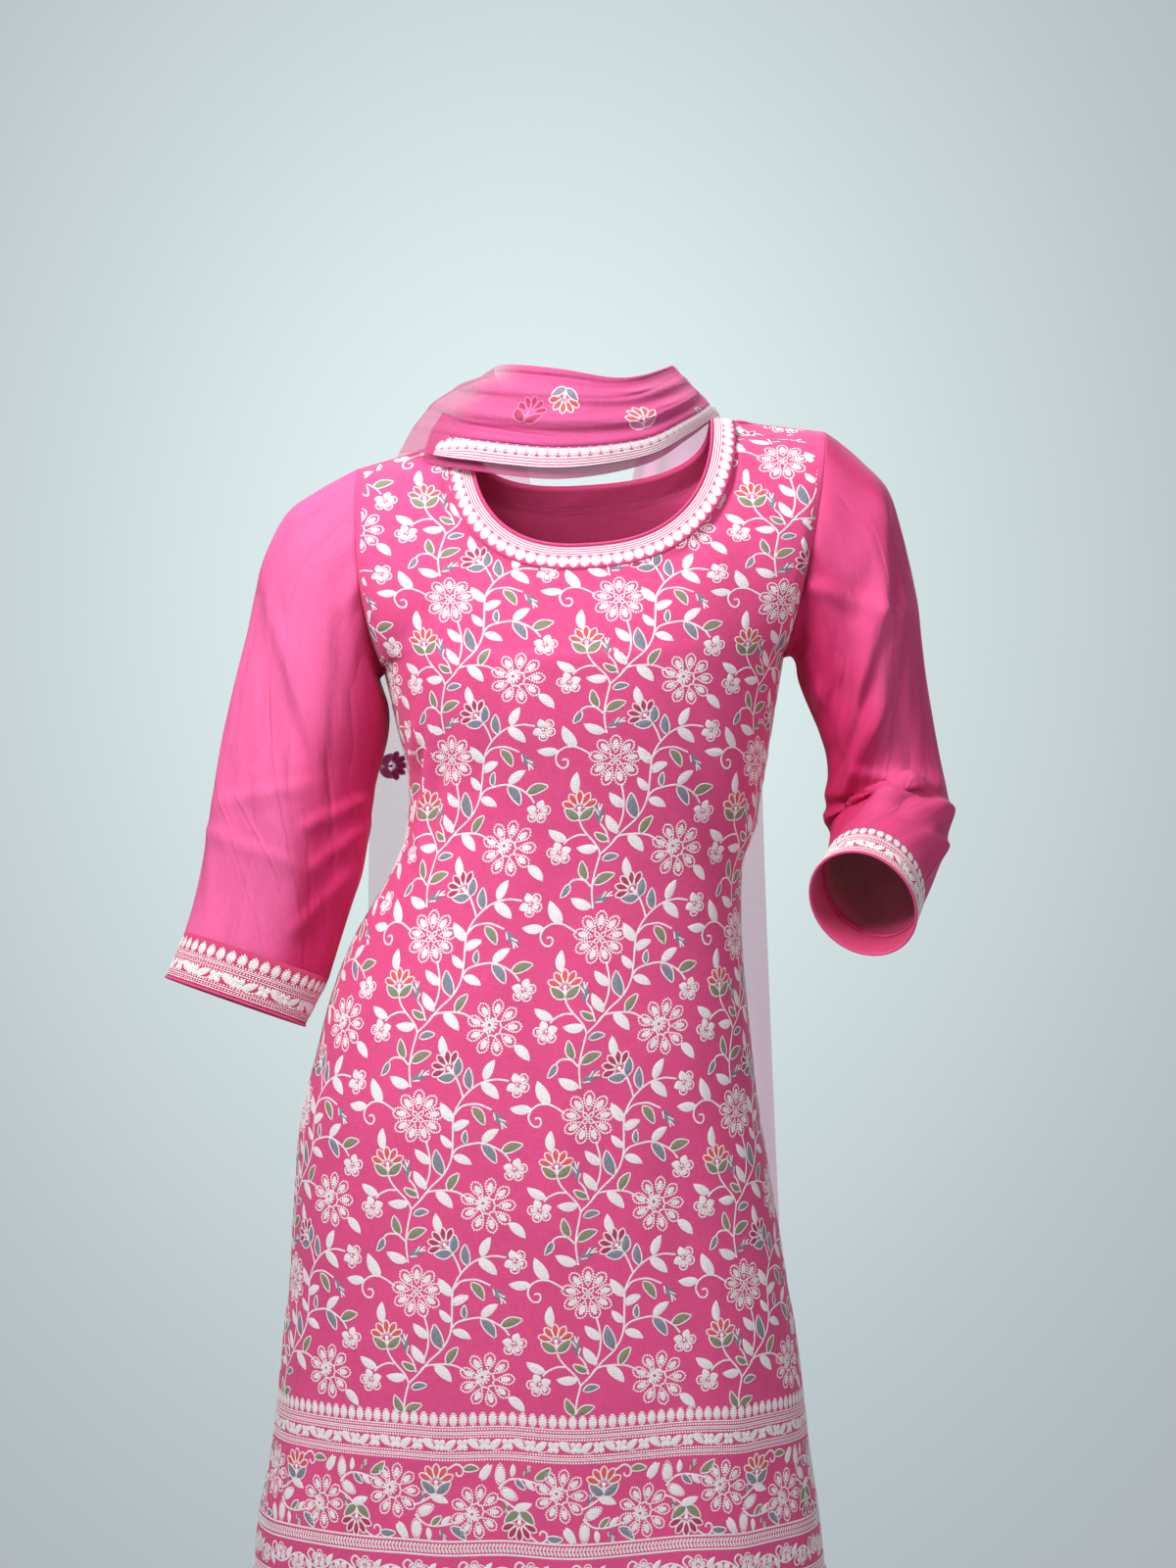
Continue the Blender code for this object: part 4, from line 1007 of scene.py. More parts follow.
def body_rows(face):
    """A panel's outer surface in level rows, in even steps to each side of the grain line."""
    body, strip = panels[face][0], panels[face][1][:3]
    points = np.concatenate([body.reshape(-1, 3), strip.reshape(-1, 3)])
    faces = [cells(*body.shape[:2]), cells(*strip.shape[:2]) + body[:, :, 0].size]
    tree = BVHTree.FromPolygons(points.tolist(), np.concatenate(faces).tolist())
    out = FACES[face]
    steps = np.arange(-WIDEST_HALF, WIDEST_HALF + 1)
    levels = np.concatenate([np.arange(HEM_Z + HEM_CLEAR, SHOULDERS_START_Z, ROW_STEP),
                             np.arange(SHOULDERS_START_Z, SHOULDER_LINE[:, 1].max(), SHOULDER_ROW_STEP)])
    bearings = np.linspace(0, math.pi, RAYS)[::out]
    rows = []
    for z in levels:
        left, right, _ = kurta_at(max(min(z, KURTA_ROWS[-1, 0]), HEM_Z))
        hits, rays = [], []
        for ray, bearing in enumerate(bearings):
            towards = Vector((-math.cos(bearing), -abs(math.sin(bearing)) * out, 0.0))
            start = Vector(((left + right) / 2, 0.0, z)) - towards * RAY_LENGTH
            hit = tree.ray_cast(start, towards, RAY_LENGTH)[0]
            if hit is not None:
                hits.append(hit)
                rays.append(ray)
        row = np.full((len(steps), 3), np.nan)
        if len(hits) >= FEWEST_HITS:
            hits = np.array(hits)
            reach = reach_along(hits) * 1000
            grain = np.interp(z, GRAIN_LINE[:, 0], GRAIN_LINE[:, 1])
            reach -= np.interp(-out * grain, -out * hits[:, 0], reach)
            wanted = steps * COLUMN_STEP
            inside = (wanted >= reach[0]) & (wanted <= reach[-1])
            for k in np.flatnonzero(np.diff(rays) > 1):
                inside &= ~((wanted > reach[k]) & (wanted < reach[k + 1]))
            row = np.stack([np.where(inside, np.interp(wanted, reach, p), np.nan) for p in hits.T], axis=1)
        rows.append(row)
    return np.array(rows), steps * COLUMN_STEP, (levels - HEM_Z) * 1000


flower_rows = np.arange(len(FLOWER_ROWS_Z)) * VINE_RISE
body_grounds = {}
for face in FACES:
    grid, across, heights = body_rows(face)
    body_grounds[face] = Ground(grid, across, heights)
    above = heights >= BORDER_TOP
    levels = heights[above] / 1000 + HEM_Z
    climbed = np.interp(levels, FLOWER_ROWS_Z, flower_rows)
    below_foot = levels < FLOWER_ROWS_Z[0]
    climbed[below_foot] = (levels[below_foot] - FLOWER_ROWS_Z[0]) * 1000 / VINE_FOOT_SCALE
    below = np.maximum(SHOULDER_LINE[:, 1].mean() - levels, LEAN_STARTS)
    rise = np.diff(levels, prepend=levels[0]) * 1000 * np.hypot(1, CHEST_LEAN / np.sqrt(below))
    rise = np.where(levels > CHEST_LEANS_Z, rise, np.diff(climbed, prepend=climbed[0]))
    climbed = climbed[0] + np.cumsum(rise)
    vines = Work()
    for column in VINE_COLUMNS:
        for up in flower_rows:
            x = column * VINE_ACROSS - VINE_OPEN_FLOWER[0]
            vines.work(vine if up > 0 else vine_foot, x, up - VINE_OPEN_FLOWER[1])
    embroider("vines_" + face, vines, Ground(grid[above], across, climbed))


# The hem's border and edging.
# A wide embroidered border runs right round above the hem, worked in the same cords and beads as the vines.
# The hem is bound in a thin pink piping, with a row of tiny pearls hanging under it.
BORDER_HALF = 370.0
BORDER_THIN_CORDS = (138.9, 134.8, 133.4, 117.4, 116.0)
BORDER_CORDS = (52.8, 42.4, 15.4, 11.2, 7.0)
BORDER_BEADS = (137.0, 131.4, 119.4, 114.0, 13.3, 9.1, 4.9)
BORDER_BEAD = 1.75
BORDER_BEAD_PITCH = 2.20
BUD_SHAPE = (0.9, 0.6)
BUD_BEADS = (1.9, 1.5)
BUD_INSET = 0.08
BUD_FILL = 1.05
STRAIGHT_STEP = 4.0
BORDER_BUD = (9.9, 5.7)
BUD_PITCH = 7.7
BUD_ROW_UP = 140.0
LEAF_ROW_UP = 125.4
LEAF_ROW_PITCH = 35.0
HERRINGBONE_UP = 47.5
HERRINGBONE_PITCH = 2.8
HERRINGBONE_STROKE = (1.8, 3.3)
HERRINGBONE_GAP = 0.2
HERRINGBONE_CORD = 1.6
BORDER_DIPS = [  # place along the border, dip and half width
    (-6.0, 2.4, 40.0), (-112.0, 1.4, 24.0), (78.0, -1.2, 26.0), (-60.0, -0.8, 20.0), (128.0, 1.0, 18.0),
]
FLORAL_BAND_UP = 82.0
FLORAL_BAND_PITCH = 130.0
SCROLL_UP = 28.5
SCROLL_PITCH = 44.0
PEARL = 0.0030
PEARL_PITCH = 0.0065
PIPING = 0.0012
PIPING_SIDES = 6
FLORAL_BAND_STARTS = 12.0
FLORAL_BANDS = range(-3, 4)
BACK_HALF = [("coral", "magenta"), ("slate", "sage"), ("sage", "slate")]
HEM_LENGTH = 1.25
PEARL_SHADES = ((0.82, 0.71, 0.72), (0.90, 0.85, 0.80))
PEARL_ROUGHNESS = (0.16, 0.28)
PEARL_CLOUDS = 420.0
PEARL_HANGS = 0.8


def bud(length, width):
    """An upright bud: a satin drop with beads round it."""
    made = Work()
    t = np.linspace(0, 1, 9)
    half = width / 2 * swelling(t, *BUD_SHAPE)
    made.beads(outlined(length * t, half)[:, ::-1], *BUD_BEADS, True)
    foot, tip = length * BUD_INSET, length * (1 - BUD_INSET)
    made.leaf(0.0, foot, 0.0, tip, BUD_FILL * width / length, 0.0)
    return made


def in_a_row(motifs, start, end, pitch, up):
    """Motifs worked in turn at even steps along a straight row."""
    row = Work()
    count = max(int(round((end - start) / pitch)), 1)
    for k in range(count):
        row.work(motifs[k % len(motifs)], start + (k + 0.5) * (end - start) / count, up)
    return row


def lines(start, end, cords, beads, width=CORD, bead=BORDER_BEAD):
    """Straight rows of couched cord and of beads, at these heights."""
    made = Work()
    for up in cords:
        made.cord([[start, up], [end, up]], width, STRAIGHT_STEP)
    for up in beads:
        made.beads([[start, up], [end, up]], BORDER_BEAD_PITCH, bead)
    return made


def edging(start, end, cords, width, size, pitch, up, beads=(), bead=BORDER_BEAD):
    """A narrow border: straight rows of cord and beads, and a row of buds of this length and width."""
    return lines(start, end, cords, beads, width, bead).work(in_a_row([bud(*size)], start, end, pitch, up))


def wavy(pitch, height):
    """One wave of a stem, as long as its pitch."""
    x = np.linspace(-pitch / 2, pitch / 2, 9)
    return np.stack([x, -height * np.cos(2 * math.pi * x / pitch)], axis=1)


cross_flower = Work()
for turn in (45, 135, 225, 315):
    base, tip = turned([[0.3, 0.0], [5.3, 0.0]], turn=turn)
    cross_flower.leaf(*tip, *base, 0.84, 0.0)
leaf_row = Work()
leaf_row.work(cross_flower, -8.9, 0.0)
leaf_row.leaf(-4.6, -3.8, 4.2, 3.8, 0.50)
leaf_row.work(cross_flower, 8.9, 0.0)
leaf_row.leaf(13.0, 4.1, 21.8, -3.6, 0.50)
leaf_row.cord(wavy(LEAF_ROW_PITCH, 4.4), 1.0, 3.0)

# Half of the floral band's chart, from the flower's own x and the band's middle. The other half is this one
# turned upside down.
floral_half = Work()
floral_half.work(star_flower, 0.0, 7.0, 0.0, 0.94)
floral_half.work(fan, 33.3, 6.6, 0.0, 1.0, swap=[("sage", "slate")])
for path in ([(42, 25), (49, 29), (54, 26), (54, 21), (50, 20), (49, 23)], [(16, -3), (23, 0), (33, 7)],
             [(17, -10), (26, -17), (39, -17), (54, -13)]):
    floral_half.cord(path)
for base_to_tip in (
    (69, 16, 77, 28), (29, 4, 43, 0), (27, -19, 28, -29), (38, -18, 45, -10), (2, -18, 9, -29)
):
    floral_half.leaf(*base_to_tip)
floral_half.edged_leaf(54, 25, 67, 25, "sage")
floral_half.edged_leaf(30, -18, 38, -10, "sage")
floral_half.edged_leaf(45, -18, 57, -28, "slate")
floral_half.work(feather, 21.5, -0.5, 72, 0.65)
floral_half.work(feather, 36.0, -19.5, -58, 0.62)
floral_half.work(bud(15.0, 7.5), 18.6, -9.8, -60)
floral_half.work(bud(16.0, 7.5), 18.2, -12.6, 180)
floral_band = Work()
floral_band.work(floral_half, -32.5)
floral_band.work(floral_half, 32.5, 0.0, 180, 1.0, BACK_HALF, True)

scroll = Work()
scroll.cord(wavy(SCROLL_PITCH, 4.5))
scroll.work(small_flower, 0.0, -4.0, 88, 0.80)
scroll.work(small_flower, -22.0, 4.0, -92, 0.80)
scroll.cord([(-8, 0), (-12, 5), (-9, 9), (-5, 7), (-7, 4)])
scroll.cord([(14, 0), (10, -5), (13, -9), (17, -7), (15, -4)])
scroll.leaf(8, -1, 14, 8)
scroll.leaf(-14, 1, -8, -9)

hem_border = lines(-BORDER_HALF, BORDER_HALF, BORDER_CORDS, BORDER_BEADS)
hem_border.work(lines(-BORDER_HALF, BORDER_HALF, BORDER_THIN_CORDS, (), 1.0))
hem_border.work(in_a_row([bud(*BORDER_BUD)], -BORDER_HALF, BORDER_HALF, BUD_PITCH, BUD_ROW_UP))
hem_border.work(in_a_row([leaf_row], -BORDER_HALF, BORDER_HALF, LEAF_ROW_PITCH, LEAF_ROW_UP))
hem_border.work(in_a_row([scroll], -BORDER_HALF, BORDER_HALF, SCROLL_PITCH, SCROLL_UP))
for x in np.arange(-BORDER_HALF, BORDER_HALF, HERRINGBONE_PITCH):
    for out in (-1, 1):
        along, up = HERRINGBONE_STROKE
        stroke = [[x, HERRINGBONE_UP + HERRINGBONE_GAP * out], [x + along, HERRINGBONE_UP + up * out]]
        hem_border.cord(stroke, HERRINGBONE_CORD, STRAIGHT_STEP)
for k in FLORAL_BANDS:
    hem_border.work(floral_band, FLORAL_BAND_STARTS + k * FLORAL_BAND_PITCH, FLORAL_BAND_UP)
# The worn cloth sags and lifts a little along the border.
hem_border.done()
for x, dip, half in BORDER_DIPS:
    hem_border.points[:, 1] -= dip * np.exp(-(((hem_border.points[:, 0] - x) / half) ** 2))
for face in FACES:
    embroider("hem_border_" + face, hem_border, body_grounds[face])


def piping(name, line):
    """A thin round edge of the kurta's cloth along a closed line."""
    line = np.asarray(line, float)
    step = unit(heading(line, 0, True))
    out = line - line.mean(axis=0)
    out = unit(out - step * (out * step).sum(axis=1, keepdims=True))
    up = np.cross(step, out)
    angles = np.arange(PIPING_SIDES)[:, None] * 2 * math.pi / PIPING_SIDES
    points = line[:, None] + PIPING * (out[:, None] * np.cos(angles) + up[:, None] * np.sin(angles))
    i, j = np.meshgrid(np.arange(len(line)), np.arange(PIPING_SIDES), indexing="ij")
    near, far, m = i * PIPING_SIDES, (i + 1) % len(line) * PIPING_SIDES, (j + 1) % PIPING_SIDES
    faces = np.stack([near + j, far + j, far + m, near + m], axis=-1).reshape(-1, 4)
    weave = np.stack([points[:, :, 0], points[:, :, 2], 0 * points[:, :, 0]], axis=2)
    made = piece(name, points.reshape(-1, 3), faces, [kurta_cloth.material], {"weave": weave})


hem_line = np.concatenate([panels["front"][0][0, :-1], panels["back"][0][0, :0:-1]])
piping("hem_piping", hem_line + [0.0, 0.0, PIPING / 2])
pearl_finish = Finish("pearl", (0.86, 0.78, 0.76), 0.22, Coat_Weight=0.4)
pearl_cloud = pearl_finish.noise(pearl_finish.node("TexCoord", result=3), PEARL_CLOUDS)
pearl_finish.mottle(pearl_cloud, *PEARL_SHADES)
pearl_finish.surface("Roughness", pearl_finish.ranged(pearl_cloud, *PEARL_ROUGHNESS))
places = evenly(np.concatenate([hem_line, hem_line[:1]]), np.arange(0, 1, PEARL_PITCH / HEM_LENGTH))
bpy.ops.mesh.primitive_ico_sphere_add(subdivisions=1, radius=PEARL / 2)
pearl = bpy.context.object
ball = np.array([v.co for v in pearl.data.vertices])
sides = np.array([tuple(p.vertices) for p in pearl.data.polygons])
bpy.data.objects.remove(pearl)
balls = (places - [0.0, 0.0, PEARL * PEARL_HANGS])[:, None] + ball
sides = sides + np.arange(len(places))[:, None, None] * len(ball)
pearls = piece("hem_pearls", balls.reshape(-1, 3), sides.reshape(-1, 3), [pearl_finish.material])


# The neckline's band.
# A band laid round the neck opening: four rows of white cord next to the edge and a row of round buds
# outside them, on the same pink cloth. The edge itself is bound in a thin piping.
NECK_CORDS = (2.9, 4.9, 6.9, 8.9)
NECK_CORD = 1.15
NECK_BUD = (9.2, 7.6)
NECK_BUD_UP = 9.9
NECK_BUD_PITCH = 8.3
BAND_LIFT = 0.0008


def strip_ground(grid, closed=False):
    """The ground of a narrow band, from a grid whose rows run up it and whose columns run to the right."""
    width = np.linalg.norm(grid[-1] - grid[0], axis=1).mean() * 1000
    middle = grid[len(grid) // 2]
    around = np.concatenate([middle, middle[:1]]) if closed else middle
    length = length_of(around) * 1000
    across = np.linspace(0, length, len(middle), endpoint=not closed)
    return Ground(grid, across, np.linspace(0, width, len(grid)), closed), length


neck_edges = []
for face in FACES:
    strip = panels[face][1][::-1]
    ground, length = strip_ground(strip[:, ::-1] if face == "front" else strip)
    raised = ground.grid + ground.normals * BAND_LIFT
    band = cloth("neck_band_" + face + "_cloth", [raised], BAND_LIFT, kurta_cloth, 1)
    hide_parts("neck_band_" + face)
    length / 1000
    "kurta_" + face + "_cloth"
    stitched = edging(0.0, length, NECK_CORDS, NECK_CORD, NECK_BUD, NECK_BUD_PITCH, NECK_BUD_UP)
    embroider("neck_stitches_" + face, stitched, Ground(raised, ground.across, ground.up))
    neck_edges.append(raised[0])
piping("neck_piping", np.concatenate([edge[:0:-1] for edge in neck_edges]))


# The sleeves.
# Three-quarter sleeves of plain sheer georgette, set into the armholes. The left one hangs. The right one
# bends forwards at the elbow, so its cloth is crushed into folds on the inside of the bend.
SIDES = {"left": -1, "right": 1}  # the way along x that each side of the picture lies
SLEEVE_RINGS = {  # centre, half axis towards the outer edge, half axis towards the front
    "left": np.array([
        [-0.1903, 0.000, -0.1294, -0.0190, 0.0, 0.0810, 0.0, -0.061, 0.000],
        [-0.2048, 0.000, -0.1490, -0.0402, 0.0, 0.0770, 0.0, -0.063, 0.000],
        [-0.2156, -0.001, -0.1838, -0.0524, 0.0, 0.0641, 0.0, -0.062, 0.000],
        [-0.2240, -0.002, -0.2225, -0.0550, 0.0, 0.0515, 0.0, -0.059, 0.000],
        [-0.2318, -0.004, -0.2550, -0.0572, 0.0, 0.0400, 0.0, -0.056, 0.002],
        [-0.2378, -0.006, -0.2870, -0.0602, 0.0, 0.0310, 0.0, -0.053, 0.003],
        [-0.2430, -0.009, -0.3210, -0.0620, 0.0, 0.0210, 0.0, -0.049, 0.004],
        [-0.2490, -0.012, -0.3560, -0.0620, 0.0, 0.0140, 0.0, -0.044, 0.004],
        [-0.2580, -0.015, -0.3930, -0.0600, 0.0, 0.0130, 0.0, -0.039, 0.004],
        [-0.2689, -0.018, -0.4300, -0.0578, 0.0, 0.0190, 0.0, -0.036, 0.004],
    ]),
    "right": np.array([
        [0.1853, 0.000, -0.1050, 0.0207, 0.0, 0.0850, 0.0, -0.061, 0.000],
        [0.2034, 0.002, -0.1300, 0.0361, 0.0, 0.0770, 0.0, -0.063, 0.000],
        [0.2153, 0.004, -0.1653, 0.0393, 0.0, 0.0647, 0.0, -0.061, 0.000],
        [0.2257, 0.006, -0.1998, 0.0393, 0.0, 0.0532, 0.0, -0.058, 0.000],
        [0.2312, 0.009, -0.2340, 0.0385, 0.0, 0.0444, 0.0, -0.055, 0.002],
        [0.2348, 0.012, -0.2650, 0.0420, 0.0, 0.0310, 0.0, -0.053, 0.004],
        [0.2385, 0.013, -0.2950, 0.0455, -0.003, 0.0190, 0.0, -0.050, 0.010],
        [0.2425, 0.006, -0.3230, 0.0475, -0.010, 0.0070, -0.002, -0.045, 0.024],
        [0.2370, -0.020, -0.3440, 0.0440, -0.018, 0.0010, -0.006, -0.033, 0.036],
        [0.2245, -0.0616, -0.3692, 0.0375, -0.0195, 0.0, -0.0095, -0.0190, 0.0425],
    ]),
}
CUFF_ENDS = {
    "left": np.array([-0.2857, -0.021, -0.4665, -0.0557, 0.0, 0.0195, 0.0, -0.035, 0.004]),
    "right": np.array([0.2135, -0.0900, -0.3858, 0.0395, -0.0200, 0.0, -0.0095, -0.0188, 0.0410]),
}
SLEEVE_SIDES = 16
SLEEVE_STEPS = 15
SLEEVE_CUTS = (6, 8)
SLEEVE_WALL = 0.0008
UNDER_CUFF = 0.0014
SLEEVE_SHEETS = {"left": ((0.42, 0.40), 0.118), "right": ((0.40, 0.40), 0.108)}  # width and length, area
CUFF_ROWS = 8
CREASES = {  # place down the sleeve and round it in turns, reach along and across, slant, depth
    "left": [
        (0.55, 0.30, 0.30, 0.035, 0.10, 0.0035),
        (0.72, 0.42, 0.10, 0.060, 0.35, 0.0040),
        (0.80, 0.16, 0.16, 0.040, -0.15, -0.0030),
        (0.45, 0.75, 0.30, 0.050, 0.10, 0.0035),
    ],
    "right": [
        (0.77, 0.25, 0.035, 0.160, 0.00, 0.0060),
        (0.86, 0.22, 0.035, 0.140, 0.10, 0.0045),
        (0.70, 0.70, 0.120, 0.060, 0.20, 0.0035),
        (0.40, 0.30, 0.220, 0.040, 0.15, 0.0035),
    ],
}
SHEER_PINK = (0.93, 0.145, 0.38)
# The deep pink is partly the colour of doubled sheer cloth and partly painted shade.
DEEP_AND_SHADED_PINK = (0.62, 0.020, 0.130)
SLEEVE_FOLDS = {  # from x, z to x, z on the sleeve's front, width, and height of the ridge
    "left": [
        (-0.268, -0.150, -0.236, -0.245, 0.011, -0.0040),
        (-0.236, -0.245, -0.212, -0.335, 0.011, -0.0055),
        (-0.252, -0.170, -0.222, -0.262, 0.008, 0.0028),
        (-0.199, -0.165, -0.206, -0.275, 0.007, -0.0045),
        (-0.219, -0.322, -0.187, -0.306, 0.0050, 0.0040),
        (-0.214, -0.352, -0.184, -0.328, 0.0050, 0.0038),
        (-0.231, -0.402, -0.197, -0.368, 0.0060, 0.0040),
        (-0.300, -0.331, -0.242, -0.352, 0.0050, 0.0022),
        (-0.286, -0.303, -0.236, -0.294, 0.0055, 0.0022),
        (-0.262, -0.385, -0.258, -0.440, 0.0090, -0.0030),
        (-0.215, -0.392, -0.226, -0.445, 0.0080, -0.0035),
        (-0.246, -0.290, -0.232, -0.400, 0.0100, 0.0030),
    ],
    "right": [
        (0.178, -0.134, 0.226, -0.152, 0.0050, 0.0060),
        (0.231, -0.085, 0.226, -0.160, 0.0090, 0.0053),
        (0.226, -0.160, 0.193, -0.300, 0.0080, 0.0075),
        (0.214, -0.150, 0.204, -0.215, 0.0110, -0.0090),
        (0.244, -0.165, 0.228, -0.240, 0.0080, 0.0060),
        (0.228, -0.240, 0.202, -0.302, 0.0070, 0.0060),
        (0.216, -0.232, 0.200, -0.285, 0.0070, -0.0067),
        (0.168, -0.185, 0.184, -0.220, 0.0050, 0.0053),
        (0.184, -0.220, 0.190, -0.250, 0.0050, 0.0053),
        (0.176, -0.205, 0.196, -0.262, 0.0060, -0.0053),
        (0.222, -0.283, 0.256, -0.290, 0.0060, 0.0053),
        (0.256, -0.290, 0.286, -0.312, 0.0065, 0.0067),
        (0.196, -0.317, 0.236, -0.302, 0.0060, 0.0075),
        (0.236, -0.302, 0.272, -0.310, 0.0060, 0.0060),
        (0.244, -0.325, 0.280, -0.340, 0.0060, 0.0067),
        (0.205, -0.308, 0.262, -0.303, 0.0080, -0.0075),
    ],
}
CREASES_START = 10
FOLDS_START = 8
FOLD_FACING = (1.6, 0.35)
FOLD_SIDES = (0.75, 1.7)
FOLD_PAST = 0.35
SHARP_CREASES = [  # across the sleeve and down it, from one end to the other, and height
    (0.045, 0.131, 0.124, 0.289, 0.0016),
    (0.107, 0.170, 0.117, 0.262, -0.0014),
    (0.140, 0.262, 0.108, 0.296, 0.0017),
    (0.135, 0.290, 0.104, 0.328, 0.0016),
    (0.146, 0.322, 0.100, 0.386, -0.0015),
    (-0.004, 0.282, 0.104, 0.318, 0.0011),
    (0.040, 0.268, 0.092, 0.250, 0.0011),
    (0.128, 0.110, 0.136, 0.200, -0.0017),
    (0.070, 0.040, 0.084, 0.150, 0.0009),
    (0.118, 0.215, 0.146, 0.252, 0.0014),
]
CREASE_HALF_WIDTH = 0.0045
CREASE_ENDS = (0.30, 0.5)
CREASE_WANDERS = 0.012
LAYERED_AND_SHADED = {  # where round the sleeve it turns deep pink, and how much before and after that: partly its far side showing through, partly painted shade
    "left": (0.33, 0.16, 1.00),
    "right": (0.34, 0.56, 1.00),
}
LAYER_FADE = (0.10, 0.16)
DRIFT = (16.0, 3.5, 2.0, 3.0)
DRIFT_SHARE = 0.9
DEEP_FROM = (0.05, 0.95)
CRINKLE = (44.0, 18.0, 5.0, 4.0)
CRINKLE_HEIGHT = 0.0035
SOFT_CREASE = (13.0, 6.0, 9.0, 2.0)
SOFT_CREASE_HEIGHT = 0.040

sleeve_cloth = georgette(
    "sheer_georgette", SHEER_PINK, 0.09, 0.75, Alpha=0.88, Sheen_Weight=0.04, Specular_IOR_Level=0.25
)
# The sleeve's pink deepens round its far side, and over the right sleeve all over: partly the far layer
# showing through, partly painted shade where the sleeves turn from the light.
across, down, behind = sleeve_cloth.attribute("weave")
drift = sleeve_cloth.streaks(across, down, DRIFT)
deep = sleeve_cloth.between(behind + (drift - 0.5) * DRIFT_SHARE, *DEEP_FROM)
plain_pink = Socket(sleeve_cloth, sleeve_cloth.shader.inputs["Base Color"].links[0].from_socket)
sleeve_cloth.surface("Base Color", sleeve_cloth.mix(deep, plain_pink, DEEP_AND_SHADED_PINK))
crinkle = sleeve_cloth.streaks(across, down, CRINKLE)
crease = sleeve_cloth.streaks(across, down, SOFT_CREASE) - 0.5
height = (crease * crease) ** 0.5 * SOFT_CREASE_HEIGHT + crinkle * CRINKLE_HEIGHT
for a0, d0, a1, d1, tall in SHARP_CREASES:
    length = math.hypot(a1 - a0, d1 - d0)
    c, s = (a1 - a0) / length, (d1 - d0) / length
    along = (across - a0) * c + (down - d0) * s - length / 2
    off = (down - d0) * c - (across - a0) * s + (drift - 0.5) * CREASE_WANDERS
    past = sleeve_cloth.between(abs(along), *(length * end for end in CREASE_ENDS))
    aside = sleeve_cloth.between(abs(off), 0.0, CREASE_HALF_WIDTH)
    height = height + (1.0 - past) * (1.0 - aside) * tall
sleeve_cloth.bump(height, 1.0, 0.6)


def ring(row, turns):
    """The points of a sleeve ring; turns run from its outer edge by way of its front."""
    angle = 2 * math.pi * turns[:, None]
    return row[0:3] + row[3:6] * np.cos(angle) + row[6:9] * np.sin(angle)


def crush(grid, creases, outwards, free):
    """Presses creases into a sleeve's points, apart from its first and last few rows."""
    rows, columns = grid.shape[:2]
    down, turn = np.meshgrid(np.linspace(0, 1, rows), np.arange(columns) / columns, indexing="ij")
    total = 0 * down
    for at, at_turn, along, across, slant, deep in creases:
        round_by = (turn - at_turn + 0.5) % 1.0 - 0.5
        total += deep * np.exp(-(((down - at - slant * round_by) / along) ** 2) - (round_by / across) ** 2)
    total *= held_ends(rows, free)[:, None]
    return grid - normals_of(grid, True) * outwards * total[:, :, None]


def fold(grid, folds, outwards, free):
    """Raises folds on the side that faces the front, each steeper on its lower or right-hand side."""
    normals = normals_of(grid, True) * outwards
    facing = np.clip(-normals[:, :, 1] * FOLD_FACING[0] + FOLD_FACING[1], 0, 1)
    total = np.zeros(grid.shape[:2])
    for x0, z0, x1, z1, width, height in folds:
        length = math.hypot(x1 - x0, z1 - z0)
        c, s = (x1 - x0) / length, (z1 - z0) / length
        right, up = grid[:, :, 0] - x0, grid[:, :, 2] - z0
        along, across = right * c + up * s, up * c - right * s
        past = np.maximum(np.maximum(-along, along - length), 0.0)
        soft = width * np.where(across > 0, *FOLD_SIDES)
        total += height * np.exp(-((across / soft) ** 2) - (past / (length * FOLD_PAST)) ** 2)
    total *= facing * held_ends(len(grid), free)[:, None]
    return grid + normals * total[:, :, None]


cuffs = {}
for side, outwards in SIDES.items():
    turns = np.arange(SLEEVE_SIDES) / SLEEVE_SIDES
    seam = [armhole(side, 2 * math.pi * min(t, 1 - t), "front" if t <= 0.5 else "back") for t in turns]
    rings = np.array([seam, *(ring(row, turns) for row in SLEEVE_RINGS[side])])
    grid = through(rings, np.linspace(0, len(rings) - 1, SLEEVE_STEPS + 1))
    grid = crush(finer(grid, *SLEEVE_CUTS, True), CREASES[side], -outwards, CREASES_START)
    grid = fold(grid, SLEEVE_FOLDS[side], outwards, FOLDS_START)
    columns = grid.shape[1]
    steps = np.arange(columns)
    end = ring(CUFF_ENDS[side], steps / columns)
    cuffs[side] = np.array([grid[-1] + (end - grid[-1]) * s for s in np.linspace(0, 1, CUFF_ROWS + 1)])
    under_cuff = (cuffs[side] - normals_of(cuffs[side], True) * outwards * UNDER_CUFF)[1:3]
    grid = np.concatenate([grid, under_cuff])
    # The deeper tint round each sleeve: partly its far layer, partly painted shade, laid on most heavily
    # over the right sleeve.
    starts, least, most = LAYERED_AND_SHADED[side]
    early, fade = LAYER_FADE
    layers_and_shade = np.clip((np.minimum(steps, columns - steps) / columns - starts + early) / fade, 0, 1)
    layers_and_shade = np.broadcast_to(least + (most - least) * layers_and_shade, grid.shape[:2])
    made = cloth("sleeve_" + side + "_cloth", [grid], SLEEVE_WALL, sleeve_cloth, outwards, True, layers_and_shade)
    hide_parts("sleeve_" + side)
    flat, area = SLEEVE_SHEETS[side]


# The cuffs.
# Bands of deeper pink georgette at the ends of the sleeves, embroidered in white all round: cords and beads
# along both edges, a row of leaves between them, and buds that point up the sleeve. Each is bound in piping.
CUFF_PINK = (0.60, 0.040, 0.145)
CUFF_CORDS = (3.0, 6.4, 19.6, 23.0, 24.4)
CUFF_BEADS = (4.7, 8.1, 17.8, 21.3, 26.0)
CUFF_BUD = (9.6, 5.3)
CUFF_BUD_UP = 26.8
CUFF_BUD_PITCH = 7.7
CUFF_LEAF_UP = 13.0
CUFF_LEAF_PITCH = 35.0
CUFF_CORD = 0.85
CUFF_BEAD = 1.35

